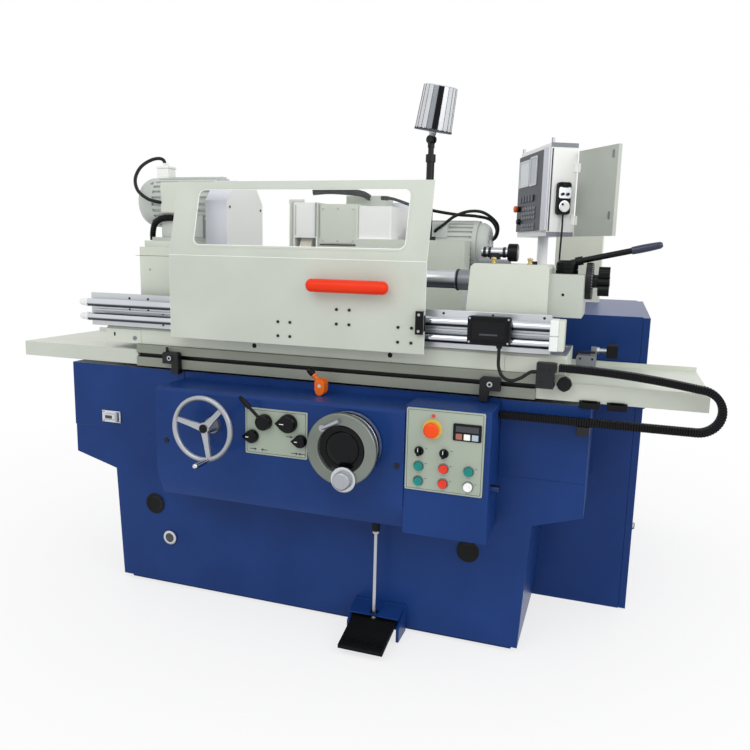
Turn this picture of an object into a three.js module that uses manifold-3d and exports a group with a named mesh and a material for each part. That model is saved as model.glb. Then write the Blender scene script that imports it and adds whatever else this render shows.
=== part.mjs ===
// A cylindrical grinding machine, in millimetres.
// +X runs along the table to the right, +Y to the back and +Z up. The floor is z = 0,
// x = 0 is near the middle of the bed's foot and y = 0 lies within the bed's width.
// Fields called front are distances from y = 0 towards the operator.
import * as THREE from 'three';
import { mergeVertices } from 'three/addons/utils/BufferGeometryUtils.js';
import Module from 'manifold-3d';

const wasm = await Module();
wasm.setup();

// Clearances shared by all the pieces
const seatGap = 0.3;
const pinGap = 0.7;
const runGap = 1;
const cutRun = 12;
const mergeSize = 0.0005;

// Numbers of facets
const sides = { fine: 32, round: 22, small: 14, tiny: 10, cord: 8, thin: 6 };
const cornerSteps = 3;
const turn = Math.PI * 2;
const quarter = Math.PI / 2;
const degree = Math.PI / 180;

const bed = {
  plinth: 18, plinthInset: 22, footLeft: 747, footRight: 730, flare: 20, legTop: 428,
  shoulderLeft: 940, shoulderRight: 900, shoulderRise: 47, top: 816, front: 240, back: 195,
  wayHeight: 7, veeHeight: 9, wayWidth: 60, veeFront: 150, flatBack: 60, wayLeft: 780, wayRight: 800,
  rearLeft: 300, rearRight: 440, rearBack: 1000, rearTop: 854, rearWay: 8, rearWayInset: 60,
  rearWayWidth: 70, coverProud: 3, creaseUp: 578, creaseProud: 4,
};
const bedCovers = {
  left: { x: -599, z: 315, radius: 39.5 },
  right: { x: 560, z: 317, radius: 37 },
  sight: { x: -538, z: 193, radius: 26 },
};
const apron = {
  left: 465, bottom: 420, top: 790, reach: 170, toeReach: 135, toeRise: 80, edge: 10,
  plateWidth: 212, plateHeight: 148, plateThick: 4, plateX: -26, plateZ: 680,
  bossRadius: 26, bossReach: 16, dialBossRadius: 96, dialBossReach: 9, rodHoleDepth: 34,
};
const tableWheel = {
  x: -247, z: 685, radius: 98, rim: 8, reach: 70, hubRadius: 19, hubLength: 48, capRadius: 14, capProud: 5,
  spokeWidth: 17, spokeThick: 9, spokes: 3, firstSpoke: -76, gripRadius: 9, gripLength: 78, gripInset: 12,
  dish: 12,
};
const feedWheel = {
  x: 222, z: 675, radius: 108, ringThick: 20, dishRadius: 73, dishDepth: 16, drumRadius: 101, drumLength: 58,
  domeRadius: 50, domeRise: 11, stopDrop: 60, stopInset: 57, stopLength: 52, stopRadius: 7,
};
const fineKnob = { drop: 86, shift: 12, radius: 38, flange: 9, capRadius: 27, capLength: 20, stem: 5 };
const levers = {
  hubRadius: 26, hubLength: 26, barRadius: 5, barLength: 62, gripRadius: 8, gripLength: 44, angle: 130,
  lift: 0.25,
};
const pointers = {
  big: { x: 18, z: 716, radius: 30, length: 24, nose: 40 },
  left: { x: -106, z: 663, radius: 22, length: 20, nose: 32 },
  right: { x: 60, z: 664, radius: 21, length: 20, nose: 30 },
};
const startLever = { x: -63, z: 713 };
const reverser = {
  x: 79, setBack: 66, hubRadius: 15, width: 32, depth: 34, height: 38, barRadius: 6, barLength: 26,
  gripRadius: 11, gripLength: 26, angle: 135,
};
const controlBox = {
  right: 640, bottom: 415, top: 806, reach: 165, border: 5, pocketInset: 12, pocketDepth: 60,
};
const controlPlate = {
  x: 508, width: 230, bottom: 556, top: 802, thick: 5, corner: 5, column: 74, rowLow: 585, row: 45,
  screenLeft: 532, screenWidth: 82, screenLow: 718, screenHeight: 50, screenProud: 3,
};
const button = { radius: 13, bezel: 16, bezelProud: 4, capProud: 8, stemRadius: 7, stemDepth: 30, travel: 4 };
const stopButton = { x: 471, z: 743, radius: 23, height: 16, stemRadius: 10, stand: 12, stemDepth: 34 };
const selector = { radius: 14, skirt: 5, barWidth: 9, barHeight: 13, stemRadius: 6, stemDepth: 30 };
const entryGland = { z: 574, radius: 11, length: 26, inset: 40 };

const pedal = {
  x: 276, bracketWidth: 178, bracketWall: 10, bracketLow: 6, bracketHigh: 98, bracketReach: 84,
  pinUp: 52, pinReach: 48, pinRadius: 8, padWidth: 146, padThick: 12, padReach: 205, padTipUp: 34,
  hubRadius: 15,
};
const pedalRod = {
  radius: 6, collarRadius: 12, collarLength: 46, collarDrop: 12, intoApron: 18, footRadius: 9, footHeight: 8,
  footTip: 3, footRise: 2,
};

const table = {
  left: 655, right: 738, height: 77, front: 250, back: 100, slotUp: 40, slotMouth: 13, slotDepth: 12,
  slotWide: 25, slotBack: 9,
};
const wing = {
  left: 1161, right: 1210, low: 826, high: 879, front: 240, back: 185, lip: 14, wall: 5, lipWall: 12,
};
const clamp = {
  left: 742, width: 50, low: 868, high: 941, reach: 62, standOff: 22, knobX: 820, knobZ: 879,
  knobRadius: 20.5, knobLength: 22, stem: 8,
};
const dog = {
  width: 62, high: 40, low: 54, thick: 24, legWidth: 26, boltRadius: 9, boltLength: 8, nutWidth: 34,
  leftX: -500, rightX: 607, pinRadius: 5, pinHeight: 16, pinInset: 12,
};
const topTable = {
  left: 787, right: 820, height: 57, front: 240, back: 48, edge: 8, slotWidth: 14, slotDepth: 12,
  slotFront: 60,
  endLeft: 640, endProud: 3,
};
const adjuster = {
  x: 834, width: 62, y: 52, depth: 44, height: 50, screwRadius: 7, screwLength: 30, knobRadius: 22,
  knobLength: 34, screwUp: 66, lugWidth: 18, lugRise: 12,
};
const rails = {
  left: 850, right: 772, height: 116, back: 222, thick: 16, rodRadius: 14, rodStand: 26, upper: 83, lower: 33,
  webThick: 12, rodLeft: 838, capLength: 35, capRadius: 12, blockWidth: 40, blockLow: 16, blockHigh: 106,
  blockReach: 48,
};
const interlock = { left: 538, right: 663, low: 985, high: 1066, thick: 32, leadRadius: 5, leadSteps: 18 };

const guard = {
  left: 473, right: 409, low: 942, skirt: 275, slopeHeight: 240, front: 305, tilt: 62, sheet: 3,
  returnDepth: 50,
  windowLeft: 388, windowRight: 339, windowUp: 34, windowHeight: 180, corner: 22,
  carriageWidth: 70, carriageHeight: 44, carriageInset: 90, strikeWidth: 26, strikeLow: 1003,
  strikeHigh: 1072,
  strikeThick: 14,
};
const handle = { left: 38, right: 303, drop: 80, radius: 21, stand: 34, foot: 26 };

const axis = { y: -60, z: 1160 };
const workhead = {
  left: 680, right: 404, front: 190, back: 56, baseHeight: 34, baseOver: 10, top: 1240, edge: 14,
  seatLeft: 662, seatHeight: 22, padLeft: 640, padHeight: 13, padInset: 30,
};
const headMotor = {
  left: 722, radius: 90, fins: 20, finDepth: 8, z: 1400, capLength: 56, capRadius: 87, finLeft: 662,
  footWidth: 150, footLength: 170, finShare: 0.5, terminalX: [-668, -620], terminalY: [-84, -36],
  terminalTop: 1528, conduitRadius: 6, hoseRadius: 10,
};
const beltGuard = {
  right: 320, front: 190, back: 66, low: 1000, shoulder: 1400, top: 1470, chamfer: 62, bore: 66,
};
const facePlate = {
  radius: 88, thick: 24, hubRadius: 52, hubLength: 16, noseRadius: 58, noseDepth: 60, slotWidth: 14, slots: 4,
  slotInner: 46, slotOuter: 78, centreRadius: 15, centreLength: 38,
};
const tailstock = {
  left: 510, right: 752, front: 200, back: 42, top: 1216, lean: 8, edge: 10, baseHeight: 30, baseOver: 10,
  blockRight: 850, blockLow: 1064, blockTop: 1190, blockFront: 180, blockBack: 24, collarLeft: 446,
  collarRadius: 33,
};
const quill = { left: 310, right: 700, radius: 29, centreRadius: 14, centreLength: 52, clear: 0.5 };
const quillLever = {
  x: 792, hubRadius: 34, hubHeight: 42, barRadius: 9, barStart: 28, barLength: 158, gripRadius: 12,
  gripLength: 84, rise: 13,
  stemRadius: 12, stemDepth: 40,
};
const quillKnob = {
  flangeRadius: 56, flangeThick: 22, neckRadius: 20, neckLength: 14, radius: 40, thick: 34, lobes: 8,
  lobeShare: 0.14,
  stemRadius: 12, stemDepth: 40,
};
const dresser = {
  left: 522, width: 92, front: 92, back: 20, baseHeight: 12, barRadius: 15, barUp: 32, knobRadius: 28,
  knobLength: 26,
  tipRadius: 5, tipLength: 34, holderWidth: 30, x: 568,
};

const slide = { left: 190, right: 330, front: 390, back: 900, top: 905 };
const wheelhead = {
  left: 190, right: 396, front: 290, back: 760, frontBack: 392, top: 1290, rearTop: 1150, boxRight: 106,
  boxSplit: 28, leftTop: 1421, rightTop: 1414, boxBack: 560, edge: 8,
};
const upperDrive = { x: 52, y: 640, radius: 60, top: 1446 };
const upperBox = { left: 145, right: 30, front: 470, back: 556, top: 1466 };
const hoseRadii = { bundle: 13, single: 6 };
const grindWheel = {
  x: -246, width: 50, radius: 225, front: 262, flangeRadius: 92, flangeThick: 9, shaftRadius: 38,
  shaftDepth: 90,
  nutRadius: 34, nutLength: 4,
};
const wheelGuard = {
  left: 293, wall: 6, top: 1426, front: 276, back: 756, corner: 120, clear: 11, mouthLow: 1040,
  mouthHigh: 1290,
  shaftHole: 60,
};
const headDrive = {
  left: 150, right: 455, y: 500, z: 1272, radius: 100, fins: 20, finDepth: 8, finShare: 0.5, capLength: 44,
  footWidth: 150, footInset: 30,
};
const coolantPipe = { x: -309, y: 292, radius: 8, low: 1215, bend: 38, cap: 14 };

const lamp = {
  x: 241, y: 340, baseRadius: 30, baseHeight: 14, postRadius: 15, postTop: 1578, collarRadius: 19,
  collarTop: 1606,
  armRadius: 11, pivotZ: 1660, earWidth: 8, earRadius: 15, pinRadius: 5,
  neck: 14, length: 160, lowRadius: 68, topRadius: 61, wall: 4, ribs: 24, ribShare: 0.035, lensDrop: 10,
  tongue: 10, yaw: 63.4, lean: 11.2,
};

const cabinet = {
  left: 560, right: 1057, back: 1190, height: 1048, wall: 12, doorThick: 23, doorSheet: 3, hingeRadius: 6,
  doorGap: 3,
};
const riser = { left: 672, right: 868, front: 900, back: 1050, top: 1400 };
const console = {
  x: 638, y: 681.5, turn: -64.1, width: 350, depth: 106, low: 1318, high: 1664, wall: 8, openWidth: 205,
  openHeight: 280, eyeRadius: 4, eyeHeight: 20, eyeInset: 8,
  postRadius: 34, postTop: 1200, neckRadius: 21, flangeRadius: 52, flangeHeight: 14, pinRadius: 14,
  pinDepth: 40,
  frame: 6, screenInset: 22, bandHeight: 20, bandProud: 3,
};
const consoleDoor = {
  width: 231, height: 316, low: 1319, thick: 15, sheet: 3, offsetX: 4, offsetY: 8, open: 167, clear: 3,
  pinRadius: 2.5,
  knuckleRadius: 6, knuckleLength: 34, knuckleInset: 60, notch: 19, webReach: 14,
};
const pendant = {
  width: 52, height: 120, thick: 32, y: 2, z: 1459, corner: 10, dialRadius: 18, dialProud: 5, dialDrop: 30,
};
const pendantCord = { diameter: 6, glandRadius: 11, glandHeight: 18 };

const chain = {
  y: -286, width: 30, height: 24, pitch: 37, neck: 18, neckWidth: 22, topZ: 929, topX: 800, lowZ: 778,
  lowX: 642,
  bendX: 1178, bracketX: 882, bracketWidth: 36, bracketHeight: 26, sag: 32, links: 36, pinRadius: 6,
  linkShare: 0.86,
};

// Finishes
function paint(color, roughness, metalness) {
  return new THREE.MeshStandardMaterial({ color, roughness, metalness });
}
const finish = {
  blue: paint(0x2c4384, 0.45, 0.1),
  cream: paint(0xc9cfc0, 0.5, 0.1),
  grey: paint(0xb4b8b4, 0.5, 0.3),
  steel: paint(0xa9adb2, 0.35, 0.9),
  black: paint(0x17181a, 0.55, 0),
  gloss: paint(0x101112, 0.2, 0),
  red: paint(0xc52a20, 0.4, 0),
  orange: paint(0xf0481d, 0.4, 0),
  green: paint(0x2f9e86, 0.4, 0),
  white: paint(0xe8e9e6, 0.5, 0),
  stone: paint(0xdcd8cc, 0.9, 0),
  glass: paint(0xeef4f5, 0.1, 0),
};

// A closed three.js geometry becomes a solid that can be joined and cut.
function solid(geometry) {
  geometry.deleteAttribute('normal');
  geometry.deleteAttribute('uv');
  const merged = mergeVertices(geometry, mergeSize);
  const place = merged.attributes.position;
  const corner = merged.index.array;
  const a = new THREE.Vector3();
  const b = new THREE.Vector3();
  const c = new THREE.Vector3();
  const faces = [];
  let volume = 0;
  for (let i = 0; i < corner.length; i += 3) {
    const [p, q, r] = [corner[i], corner[i + 1], corner[i + 2]];
    if (p === q || q === r || r === p) continue;
    faces.push(p, q, r);
    a.fromBufferAttribute(place, p);
    b.fromBufferAttribute(place, q);
    c.fromBufferAttribute(place, r);
    volume += a.dot(b.cross(c));
  }
  if (volume < 0) faces.reverse();
  const mesh = new wasm.Mesh({
    numProp: 3,
    vertProperties: new Float32Array(place.array),
    triVerts: new Uint32Array(faces),
  });
  return new wasm.Manifold(mesh);
}

function join(...pieces) {
  return pieces.flat().reduce((whole, piece) => whole.add(piece));
}

function cut(whole, ...pieces) {
  return pieces.flat().reduce((left, piece) => left.subtract(piece), whole);
}

// Turns a geometry built along local Y or Z so that it runs along a model axis.
function layAlong(geometry, direction) {
  if (direction === 'x') geometry.rotateZ(-quarter);
  if (direction === 'z') geometry.rotateX(quarter);
  return geometry;
}

function block([x0, x1], [y0, y1], [z0, z1]) {
  const geometry = new THREE.BoxGeometry(x1 - x0, y1 - y0, z1 - z0);
  geometry.translate((x0 + x1) / 2, (y0 + y1) / 2, (z0 + z1) / 2);
  return solid(geometry);
}

// A straight round bar or cone along x, y or z; the centre gives the other two coordinates.
function bar(direction, [from, to], [u, v], radius, count = sides.round, endRadius = radius) {
  const geometry = layAlong(new THREE.CylinderGeometry(endRadius, radius, to - from, count), direction);
  return solid(moveTo(geometry, direction, (from + to) / 2, u, v));
}

function moveTo(geometry, direction, along, u, v) {
  if (direction === 'x') return geometry.translate(along, u, v);
  if (direction === 'y') return geometry.translate(u, along, v);
  return geometry.translate(u, v, along);
}

// A turned piece: each point of the profile is [place along the axis, radius].
function turned(direction, [u, v], profile, count = sides.fine) {
  const points = profile.map(([along, radius]) => new THREE.Vector2(radius, along));
  const geometry = layAlong(new THREE.LatheGeometry(points, count), direction);
  return solid(moveTo(geometry, direction, 0, u, v));
}

function outline(points) {
  return new THREE.Shape(points.map(([u, v]) => new THREE.Vector2(u, v)));
}

function roundedOutline([u0, u1], [v0, v1], radius) {
  const shape = new THREE.Shape();
  shape.absarc(u1 - radius, v0 + radius, radius, -quarter, 0);
  shape.absarc(u1 - radius, v1 - radius, radius, 0, quarter);
  shape.absarc(u0 + radius, v1 - radius, radius, quarter, quarter * 2);
  shape.absarc(u0 + radius, v0 + radius, radius, quarter * 2, quarter * 3);
  shape.closePath();
  return shape;
}

// Extrudes an outline along an axis. It is drawn in (y, z), (x, z) or (x, y).
function slab(direction, shape, [from, to]) {
  const settings = { depth: to - from, bevelEnabled: false, curveSegments: cornerSteps };
  const geometry = new THREE.ExtrudeGeometry(shape, settings);
  const across = new THREE.Vector3(1, 0, 0);
  const back = new THREE.Vector3(0, 1, 0);
  const up = new THREE.Vector3(0, 0, 1);
  const basis = new THREE.Matrix4();
  if (direction === 'x') basis.makeBasis(back, up, across).setPosition(from, 0, 0);
  if (direction === 'y') basis.makeBasis(across, up, back.clone().negate()).setPosition(0, to, 0);
  if (direction === 'z') basis.setPosition(0, 0, from);
  return solid(geometry.applyMatrix4(basis));
}

function tube(points, radius, count, steps) {
  const path = new THREE.CatmullRomCurve3(points.map((p) => new THREE.Vector3(...p)));
  const section = new THREE.Shape();
  section.absarc(0, 0, radius, 0, turn);
  const settings = { steps, extrudePath: path, curveSegments: count / 2, bevelEnabled: false };
  return solid(new THREE.ExtrudeGeometry(section, settings));
}

// A bar between two points in space
function strut(from, to, radius, count = sides.tiny) {
  const start = new THREE.Vector3(...from);
  const reach = new THREE.Vector3(...to).sub(start);
  const geometry = new THREE.CylinderGeometry(radius, radius, reach.length(), count);
  geometry.translate(0, reach.length() / 2, 0);
  const aim = new THREE.Quaternion().setFromUnitVectors(new THREE.Vector3(0, 1, 0), reach.normalize());
  return solid(geometry.applyQuaternion(aim).translate(...from));
}

const machine = new THREE.Group();

function part(name, whole, material, parent = machine) {
  const { vertProperties, triVerts } = whole.getMesh();
  const geometry = new THREE.BufferGeometry();
  geometry.setAttribute('position', new THREE.BufferAttribute(vertProperties, 3));
  geometry.setIndex(new THREE.BufferAttribute(triVerts, 1));
  const mesh = new THREE.Mesh(geometry, material);
  mesh.name = name;
  parent.add(mesh);
  return mesh;
}

// Places that several pieces share
const bedFront = -bed.front;
const apronRight = controlPlate.x - controlPlate.width / 2 - controlBox.border;
const apronFront = bedFront - apron.reach;
const plateFront = apronFront - apron.plateThick;
const boxFront = bedFront - controlBox.reach;
const panelBack = boxFront - seatGap;
const panelFront = panelBack - controlPlate.thick;
const tableLow = bed.top + bed.wayHeight + seatGap;
const tableTop = tableLow + table.height;
const topTableLow = tableTop + seatGap;
const workTop = topTableLow + topTable.height;
const slotZ = tableLow + table.slotUp;
const railFront = -rails.back - rails.thick;
const rodY = railFront - rails.rodStand;
const rearWayTop = bed.rearTop + bed.rearWay;
const headLow = slide.top + seatGap;
const wheelY = grindWheel.front + grindWheel.radius;

// Bed, with the wheelhead's base behind it

function way(lift, clear) {
  const vee = [
    [-bed.veeFront - bed.wayWidth / 2 - clear, bed.top - lift],
    [-bed.veeFront + bed.wayWidth / 2 + clear, bed.top - lift],
    [-bed.veeFront + bed.wayWidth / 2 + clear, bed.top + clear],
    [-bed.veeFront, bed.top + bed.veeHeight + clear],
    [-bed.veeFront - bed.wayWidth / 2 - clear, bed.top + clear],
  ];
  return slab('x', outline(vee), [-bed.wayLeft - clear * cutRun, bed.wayRight + clear * cutRun]);
}

function bedSolid() {
  const front = outline([
    [-bed.footLeft, bed.plinth], [bed.footRight, bed.plinth],
    [bed.footRight + bed.flare, bed.legTop], [bed.shoulderRight, bed.legTop + bed.shoulderRise],
    [bed.shoulderRight, bed.top], [-bed.shoulderLeft, bed.top],
    [-bed.shoulderLeft, bed.legTop + bed.shoulderRise], [-bed.footLeft - bed.flare, bed.legTop],
  ]);
  const body = slab('y', front, [bedFront, bed.back]);
  const plinth = block([-bed.footLeft + bed.plinthInset, bed.footRight - bed.plinthInset],
    [bedFront + bed.plinthInset, bed.back], [0, bed.plinth + bed.coverProud]);
  const rear = block([-bed.rearLeft, bed.rearRight], [bed.back - bed.plinthInset, bed.rearBack],
    [0, bed.rearTop]);
  const flat = block([-bed.wayLeft, bed.wayRight],
    [bed.flatBack - bed.wayWidth / 2, bed.flatBack + bed.wayWidth / 2],
    [bed.top - bed.coverProud, bed.top + bed.wayHeight]);
  const rearWays = [-1, 1].map((side) => {
    const middle = (bed.rearRight - bed.rearLeft) / 2;
    const reach = (bed.rearRight + bed.rearLeft) / 2 - bed.rearWayInset - bed.rearWayWidth / 2;
    const x = middle + side * reach;
    return block([x - bed.rearWayWidth / 2, x + bed.rearWayWidth / 2],
      [bed.back, bed.rearBack], [bed.rearTop - bed.coverProud, rearWayTop]);
  });
  const covers = Object.values(bedCovers).map(({ x, z, radius }) => bar('y',
    [bedFront - bed.coverProud, bedFront + bed.coverProud], [x, z], radius, sides.small));
  const trimmed = cut(rear, block([-bed.rearLeft - cutRun, bed.rearRight + cutRun],
    [bed.back - bed.plinthInset - cutRun, bed.back], [bed.top, bed.rearTop + cutRun]));
  const crease = outline([
    [bedFront - bed.creaseProud, bed.creaseUp + bed.creaseProud], [bedFront + runGap, bed.creaseUp],
    [bedFront + runGap, bed.top], [bedFront - bed.creaseProud, bed.top],
  ]);
  const bands = [[-bed.shoulderLeft, -apron.left - seatGap], [controlBox.right + seatGap, bed.shoulderRight]]
    .map((span) => slab('x', crease, span));
  const bracketTop = chain.lowZ - chain.height / 2 - seatGap;
  const bracket = block([chain.bracketX - chain.bracketWidth / 2, chain.bracketX + chain.bracketWidth / 2],
    [chain.y - chain.width / 2, bedFront + runGap], [bracketTop - chain.bracketHeight, bracketTop]);
  return join(body, plinth, trimmed, flat, way(bed.coverProud, 0), rearWays, covers, bracket,
    bands);
}
part('bed_casting', bedSolid(), finish.blue);

// Apron and what is on it

function apronSolid() {
  const back = bedFront - seatGap;
  const side = outline([
    [back, apron.bottom], [bedFront - apron.toeReach, apron.bottom],
    [apronFront, apron.bottom + apron.toeRise], [apronFront, apron.top - apron.edge],
    [apronFront + apron.edge, apron.top], [back, apron.top],
  ]);
  const body = slab('x', side, [-apron.left, apronRight]);
  const wheelBoss = bar('y', [apronFront - apron.bossReach, apronFront + cutRun],
    [tableWheel.x, tableWheel.z], apron.bossRadius);
  const dialBoss = bar('y', [apronFront - apron.dialBossReach, apronFront + cutRun],
    [feedWheel.x, feedWheel.z], apron.dialBossRadius, sides.fine);
  const rodHole = bar('z', [apron.bottom - cutRun, apron.bottom + apron.rodHoleDepth],
    [pedal.x, pedalRodY], pedalRod.radius + runGap, sides.small);
  const plate = slab('y', roundedOutline([apron.plateX - apron.plateWidth / 2,
    apron.plateX + apron.plateWidth / 2],
    [apron.plateZ - apron.plateHeight / 2, apron.plateZ + apron.plateHeight / 2], apron.plateThick),
    [plateFront, apronFront + cutRun]);
  return cut(join(body, wheelBoss, dialBoss, plate), rodHole);
}

const pedalPinY = bedFront - pedal.pinReach;
const pedalRodY = pedalPinY - pedal.hubRadius - pedalRod.footRadius - seatGap;
part('apron_housing', apronSolid(), finish.blue);

// The table handwheel is modelled about its own axis, with the apron at y = 0.
function rim(radius, thick, y) {
  const points = [];
  for (let i = 0; i <= sides.cord; i += 1) {
    const angle = turn * i / sides.cord;
    points.push([y + thick * Math.sin(angle), radius + thick * Math.cos(angle)]);
  }
  points[points.length - 1] = points[0];
  return turned('y', [0, 0], points);
}

function tableWheelSolid() {
  const w = tableWheel;
  const rimY = -w.reach;
  const hub = turned('y', [0, 0], [
    [-apron.bossReach - seatGap - w.hubLength - w.capProud, 0],
    [-apron.bossReach - seatGap - w.hubLength - w.capProud, w.capRadius],
    [-apron.bossReach - seatGap - w.hubLength, w.capRadius],
    [-apron.bossReach - seatGap - w.hubLength, w.hubRadius],
    [-apron.bossReach - seatGap, w.hubRadius],
    [-apron.bossReach - seatGap, 0],
  ], sides.round);
  const spokes = [];
  for (let i = 0; i < w.spokes; i += 1) {
    const angle = w.firstSpoke * degree + turn * i / w.spokes;
    const geometry = new THREE.BoxGeometry(w.radius, w.spokeThick, w.spokeWidth);
    geometry.translate(w.radius / 2, 0, 0);
    geometry.rotateZ(Math.atan2(w.dish, w.radius) * -1);
    geometry.rotateY(-angle);
    spokes.push(solid(geometry.translate(0, rimY + w.dish, 0)));
  }
  const gripAngle = w.firstSpoke * degree;
  const gripAt = [w.radius * Math.cos(gripAngle), w.radius * Math.sin(gripAngle)];
  const grip = turned('y', gripAt, [
    [rimY - w.rim - w.gripLength, 0], [rimY - w.rim - w.gripLength, w.gripRadius],
    [rimY - w.rim - w.gripInset, w.gripRadius], [rimY - w.rim, w.gripRadius / 2],
    [rimY, w.gripRadius / 2], [rimY, 0],
  ], sides.tiny);
  return join(rim(w.radius, w.rim, rimY), hub, spokes, grip);
}
part('table_handwheel', tableWheelSolid(), finish.grey)
  .position.set(tableWheel.x, apronFront, tableWheel.z);

// The crossfeed handwheel is a drum with a graduated rim and a dished face.
const feedFace = -apron.dialBossReach - seatGap - feedWheel.drumLength - feedWheel.ringThick;

function feedWheelSolid() {
  const w = feedWheel;
  const back = -apron.dialBossReach - seatGap;
  const dish = feedFace + w.dishDepth;
  const drum = turned('y', [0, 0], [
    [back, 0], [back, w.drumRadius], [back - w.drumLength, w.drumRadius],
    [back - w.drumLength, w.radius], [feedFace + runGap, w.radius], [feedFace, w.radius - runGap],
    [feedFace, w.dishRadius + runGap], [dish, w.dishRadius - runGap], [dish, w.domeRadius],
    [dish - w.domeRise / 2, w.domeRadius * Math.SQRT1_2], [dish - w.domeRise, 0],
  ]);
  const stopY = feedFace - w.stopRadius;
  const stop = strut([-w.stopInset, stopY, w.stopDrop],
    [-w.stopInset + w.stopLength, stopY, w.stopDrop + w.stopLength / 2],
    w.stopRadius, sides.tiny);
  const post = bar('y', [stopY, dish], [-w.stopInset, w.stopDrop], w.stopRadius, sides.tiny);
  return cut(join(drum, stop, post), fineKnobSpace());
}

function fineKnobSpace() {
  return bar('y', [feedFace - cutRun, feedFace + fineKnob.stem * 2], [fineKnob.shift, -fineKnob.drop],
    fineKnob.capRadius / 2 + pinGap, sides.small);
}
part('crossfeed_handwheel', feedWheelSolid(), finish.grey)
  .position.set(feedWheel.x, apronFront, feedWheel.z);

function fineKnobSolid() {
  const k = fineKnob;
  return turned('y', [0, 0], [
    [k.stem, 0], [k.stem, k.capRadius / 2], [-seatGap, k.capRadius / 2], [-seatGap, k.radius - runGap],
    [-seatGap - runGap, k.radius], [-seatGap - k.flange, k.radius], [-seatGap - k.flange, k.capRadius],
    [-seatGap - k.flange - k.capLength, k.capRadius - runGap], [-seatGap - k.flange - k.capLength, 0],
  ], sides.round);
}
part('fine_feed_knob', fineKnobSolid(), finish.grey)
  .position.set(feedWheel.x + fineKnob.shift, apronFront + feedFace, feedWheel.z - fineKnob.drop);

// Knobs on the lever plate stand on its front face, which is y = 0 in their own frame.
function pointerSolid({ radius, length, nose }) {
  const body = turned('y', [0, 0], [
    [-seatGap, 0], [-seatGap, radius], [-length + runGap, radius - runGap], [-length, radius - runGap * 3],
      [-length, 0],
  ], sides.small);
  const tip = outline([[-nose, 0], [-radius / 2, -radius * Math.SQRT1_2],
    [-radius / 2, radius * Math.SQRT1_2]]);
  return join(body, slab('y', tip, [-length + runGap, -seatGap]));
}

function startLeverSolid() {
  const hub = turned('y', [0, 0], [
    [-seatGap, 0], [-seatGap, levers.hubRadius], [-levers.hubLength, levers.hubRadius - runGap],
    [-levers.hubLength - runGap, levers.hubRadius / 2], [-levers.hubLength - runGap, 0],
  ], sides.small);
  const along = [Math.cos(levers.angle * degree), -levers.lift, Math.sin(levers.angle * degree)];
  const reach = (length) => along.map((share, i) => share * length - (i === 1 ? levers.hubLength / 2 : 0));
  const rod = strut(reach(0), reach(levers.barLength), levers.barRadius);
  const grip = strut(reach(levers.barLength - runGap), reach(levers.barLength + levers.gripLength),
    levers.gripRadius);
  return join(hub, rod, grip);
}

function onPlate(name, whole, x, z) {
  part(name, whole, finish.gloss).position.set(x, plateFront, z);
}
onPlate('hydraulic_lever', startLeverSolid(), startLever.x, startLever.z);
onPlate('feed_knob', pointerSolid(pointers.big), pointers.big.x, pointers.big.z);
onPlate('left_knob', pointerSolid(pointers.left), pointers.left.x, pointers.left.z);
onPlate('right_knob', pointerSolid(pointers.right), pointers.right.x, pointers.right.z);

// The reversing lever rocks on a round hub that rests on the apron.
function reverserSolid() {
  const r = reverser;
  const hub = bar('y', [-r.depth / 2, r.depth / 2], [0, 0], r.hubRadius, sides.small);
  const head = slab('y', roundedOutline([-r.width / 2, r.width / 2], [0, r.height], r.width / 6),
    [-r.depth / 2, r.depth / 2]);
  const along = [Math.cos(r.angle * degree), 0, Math.sin(r.angle * degree)];
  const from = [-r.width / 4, 0, r.height - r.width / 4];
  const reach = (length) => from.map((value, i) => value + along[i] * length);
  const rod = strut(reach(0), reach(r.barLength), r.barRadius);
  const grip = strut(reach(r.barLength - runGap), reach(r.barLength + r.gripLength), r.gripRadius);
  return join(hub, head, rod, grip);
}
part('reversing_lever', reverserSolid(), finish.orange)
  .position.set(reverser.x, bedFront - reverser.setBack, apron.top + seatGap + reverser.hubRadius);

// Control box: a pocket behind its plate takes the buttons' stems.
const panelSpan = [controlPlate.x - controlPlate.width / 2, controlPlate.x + controlPlate.width / 2];
const rows = [0, 1, 2].map((row) => controlPlate.rowLow + row * controlPlate.row);
const columns = [-1, 0, 1].map((column) => controlPlate.x + column * controlPlate.column);

function controlBoxSolid() {
  const c = controlBox;
  const left = apronRight + seatGap;
  const body = block([left, c.right], [boxFront, bedFront - seatGap], [c.bottom, c.top]);
  const pocket = block([panelSpan[0] + c.pocketInset, panelSpan[1] - c.pocketInset],
    [boxFront - cutRun, boxFront + c.pocketDepth],
    [controlPlate.bottom + c.pocketInset, controlPlate.top - c.pocketInset]);
  const gland = bar('x', [c.right - cutRun, c.right + entryGland.length],
    [boxFront + entryGland.inset, entryGland.z], entryGland.radius, sides.small);
  const chainFoot = block([c.right - cutRun, chain.lowX - seatGap],
    [chain.y - chain.width / 2, chain.y + chain.width / 2],
    [chain.lowZ - chain.height / 2, chain.lowZ + chain.height / 2]);
  return join(cut(body, pocket), gland, chainFoot);
}
part('control_box', controlBoxSolid(), finish.blue);

const buttonPlaces = {
  green_button_1: [columns[0], rows[1]], green_button_2: [columns[0], rows[0]],
  green_button_3: [columns[2], rows[1]],
  red_button_1: [columns[1], rows[1]], red_button_2: [columns[1], rows[0]],
  white_button: [columns[2], rows[0]],
};
const selectorPlaces = { left_selector: [columns[0], rows[2]], right_selector: [columns[1], rows[2]] };

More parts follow.
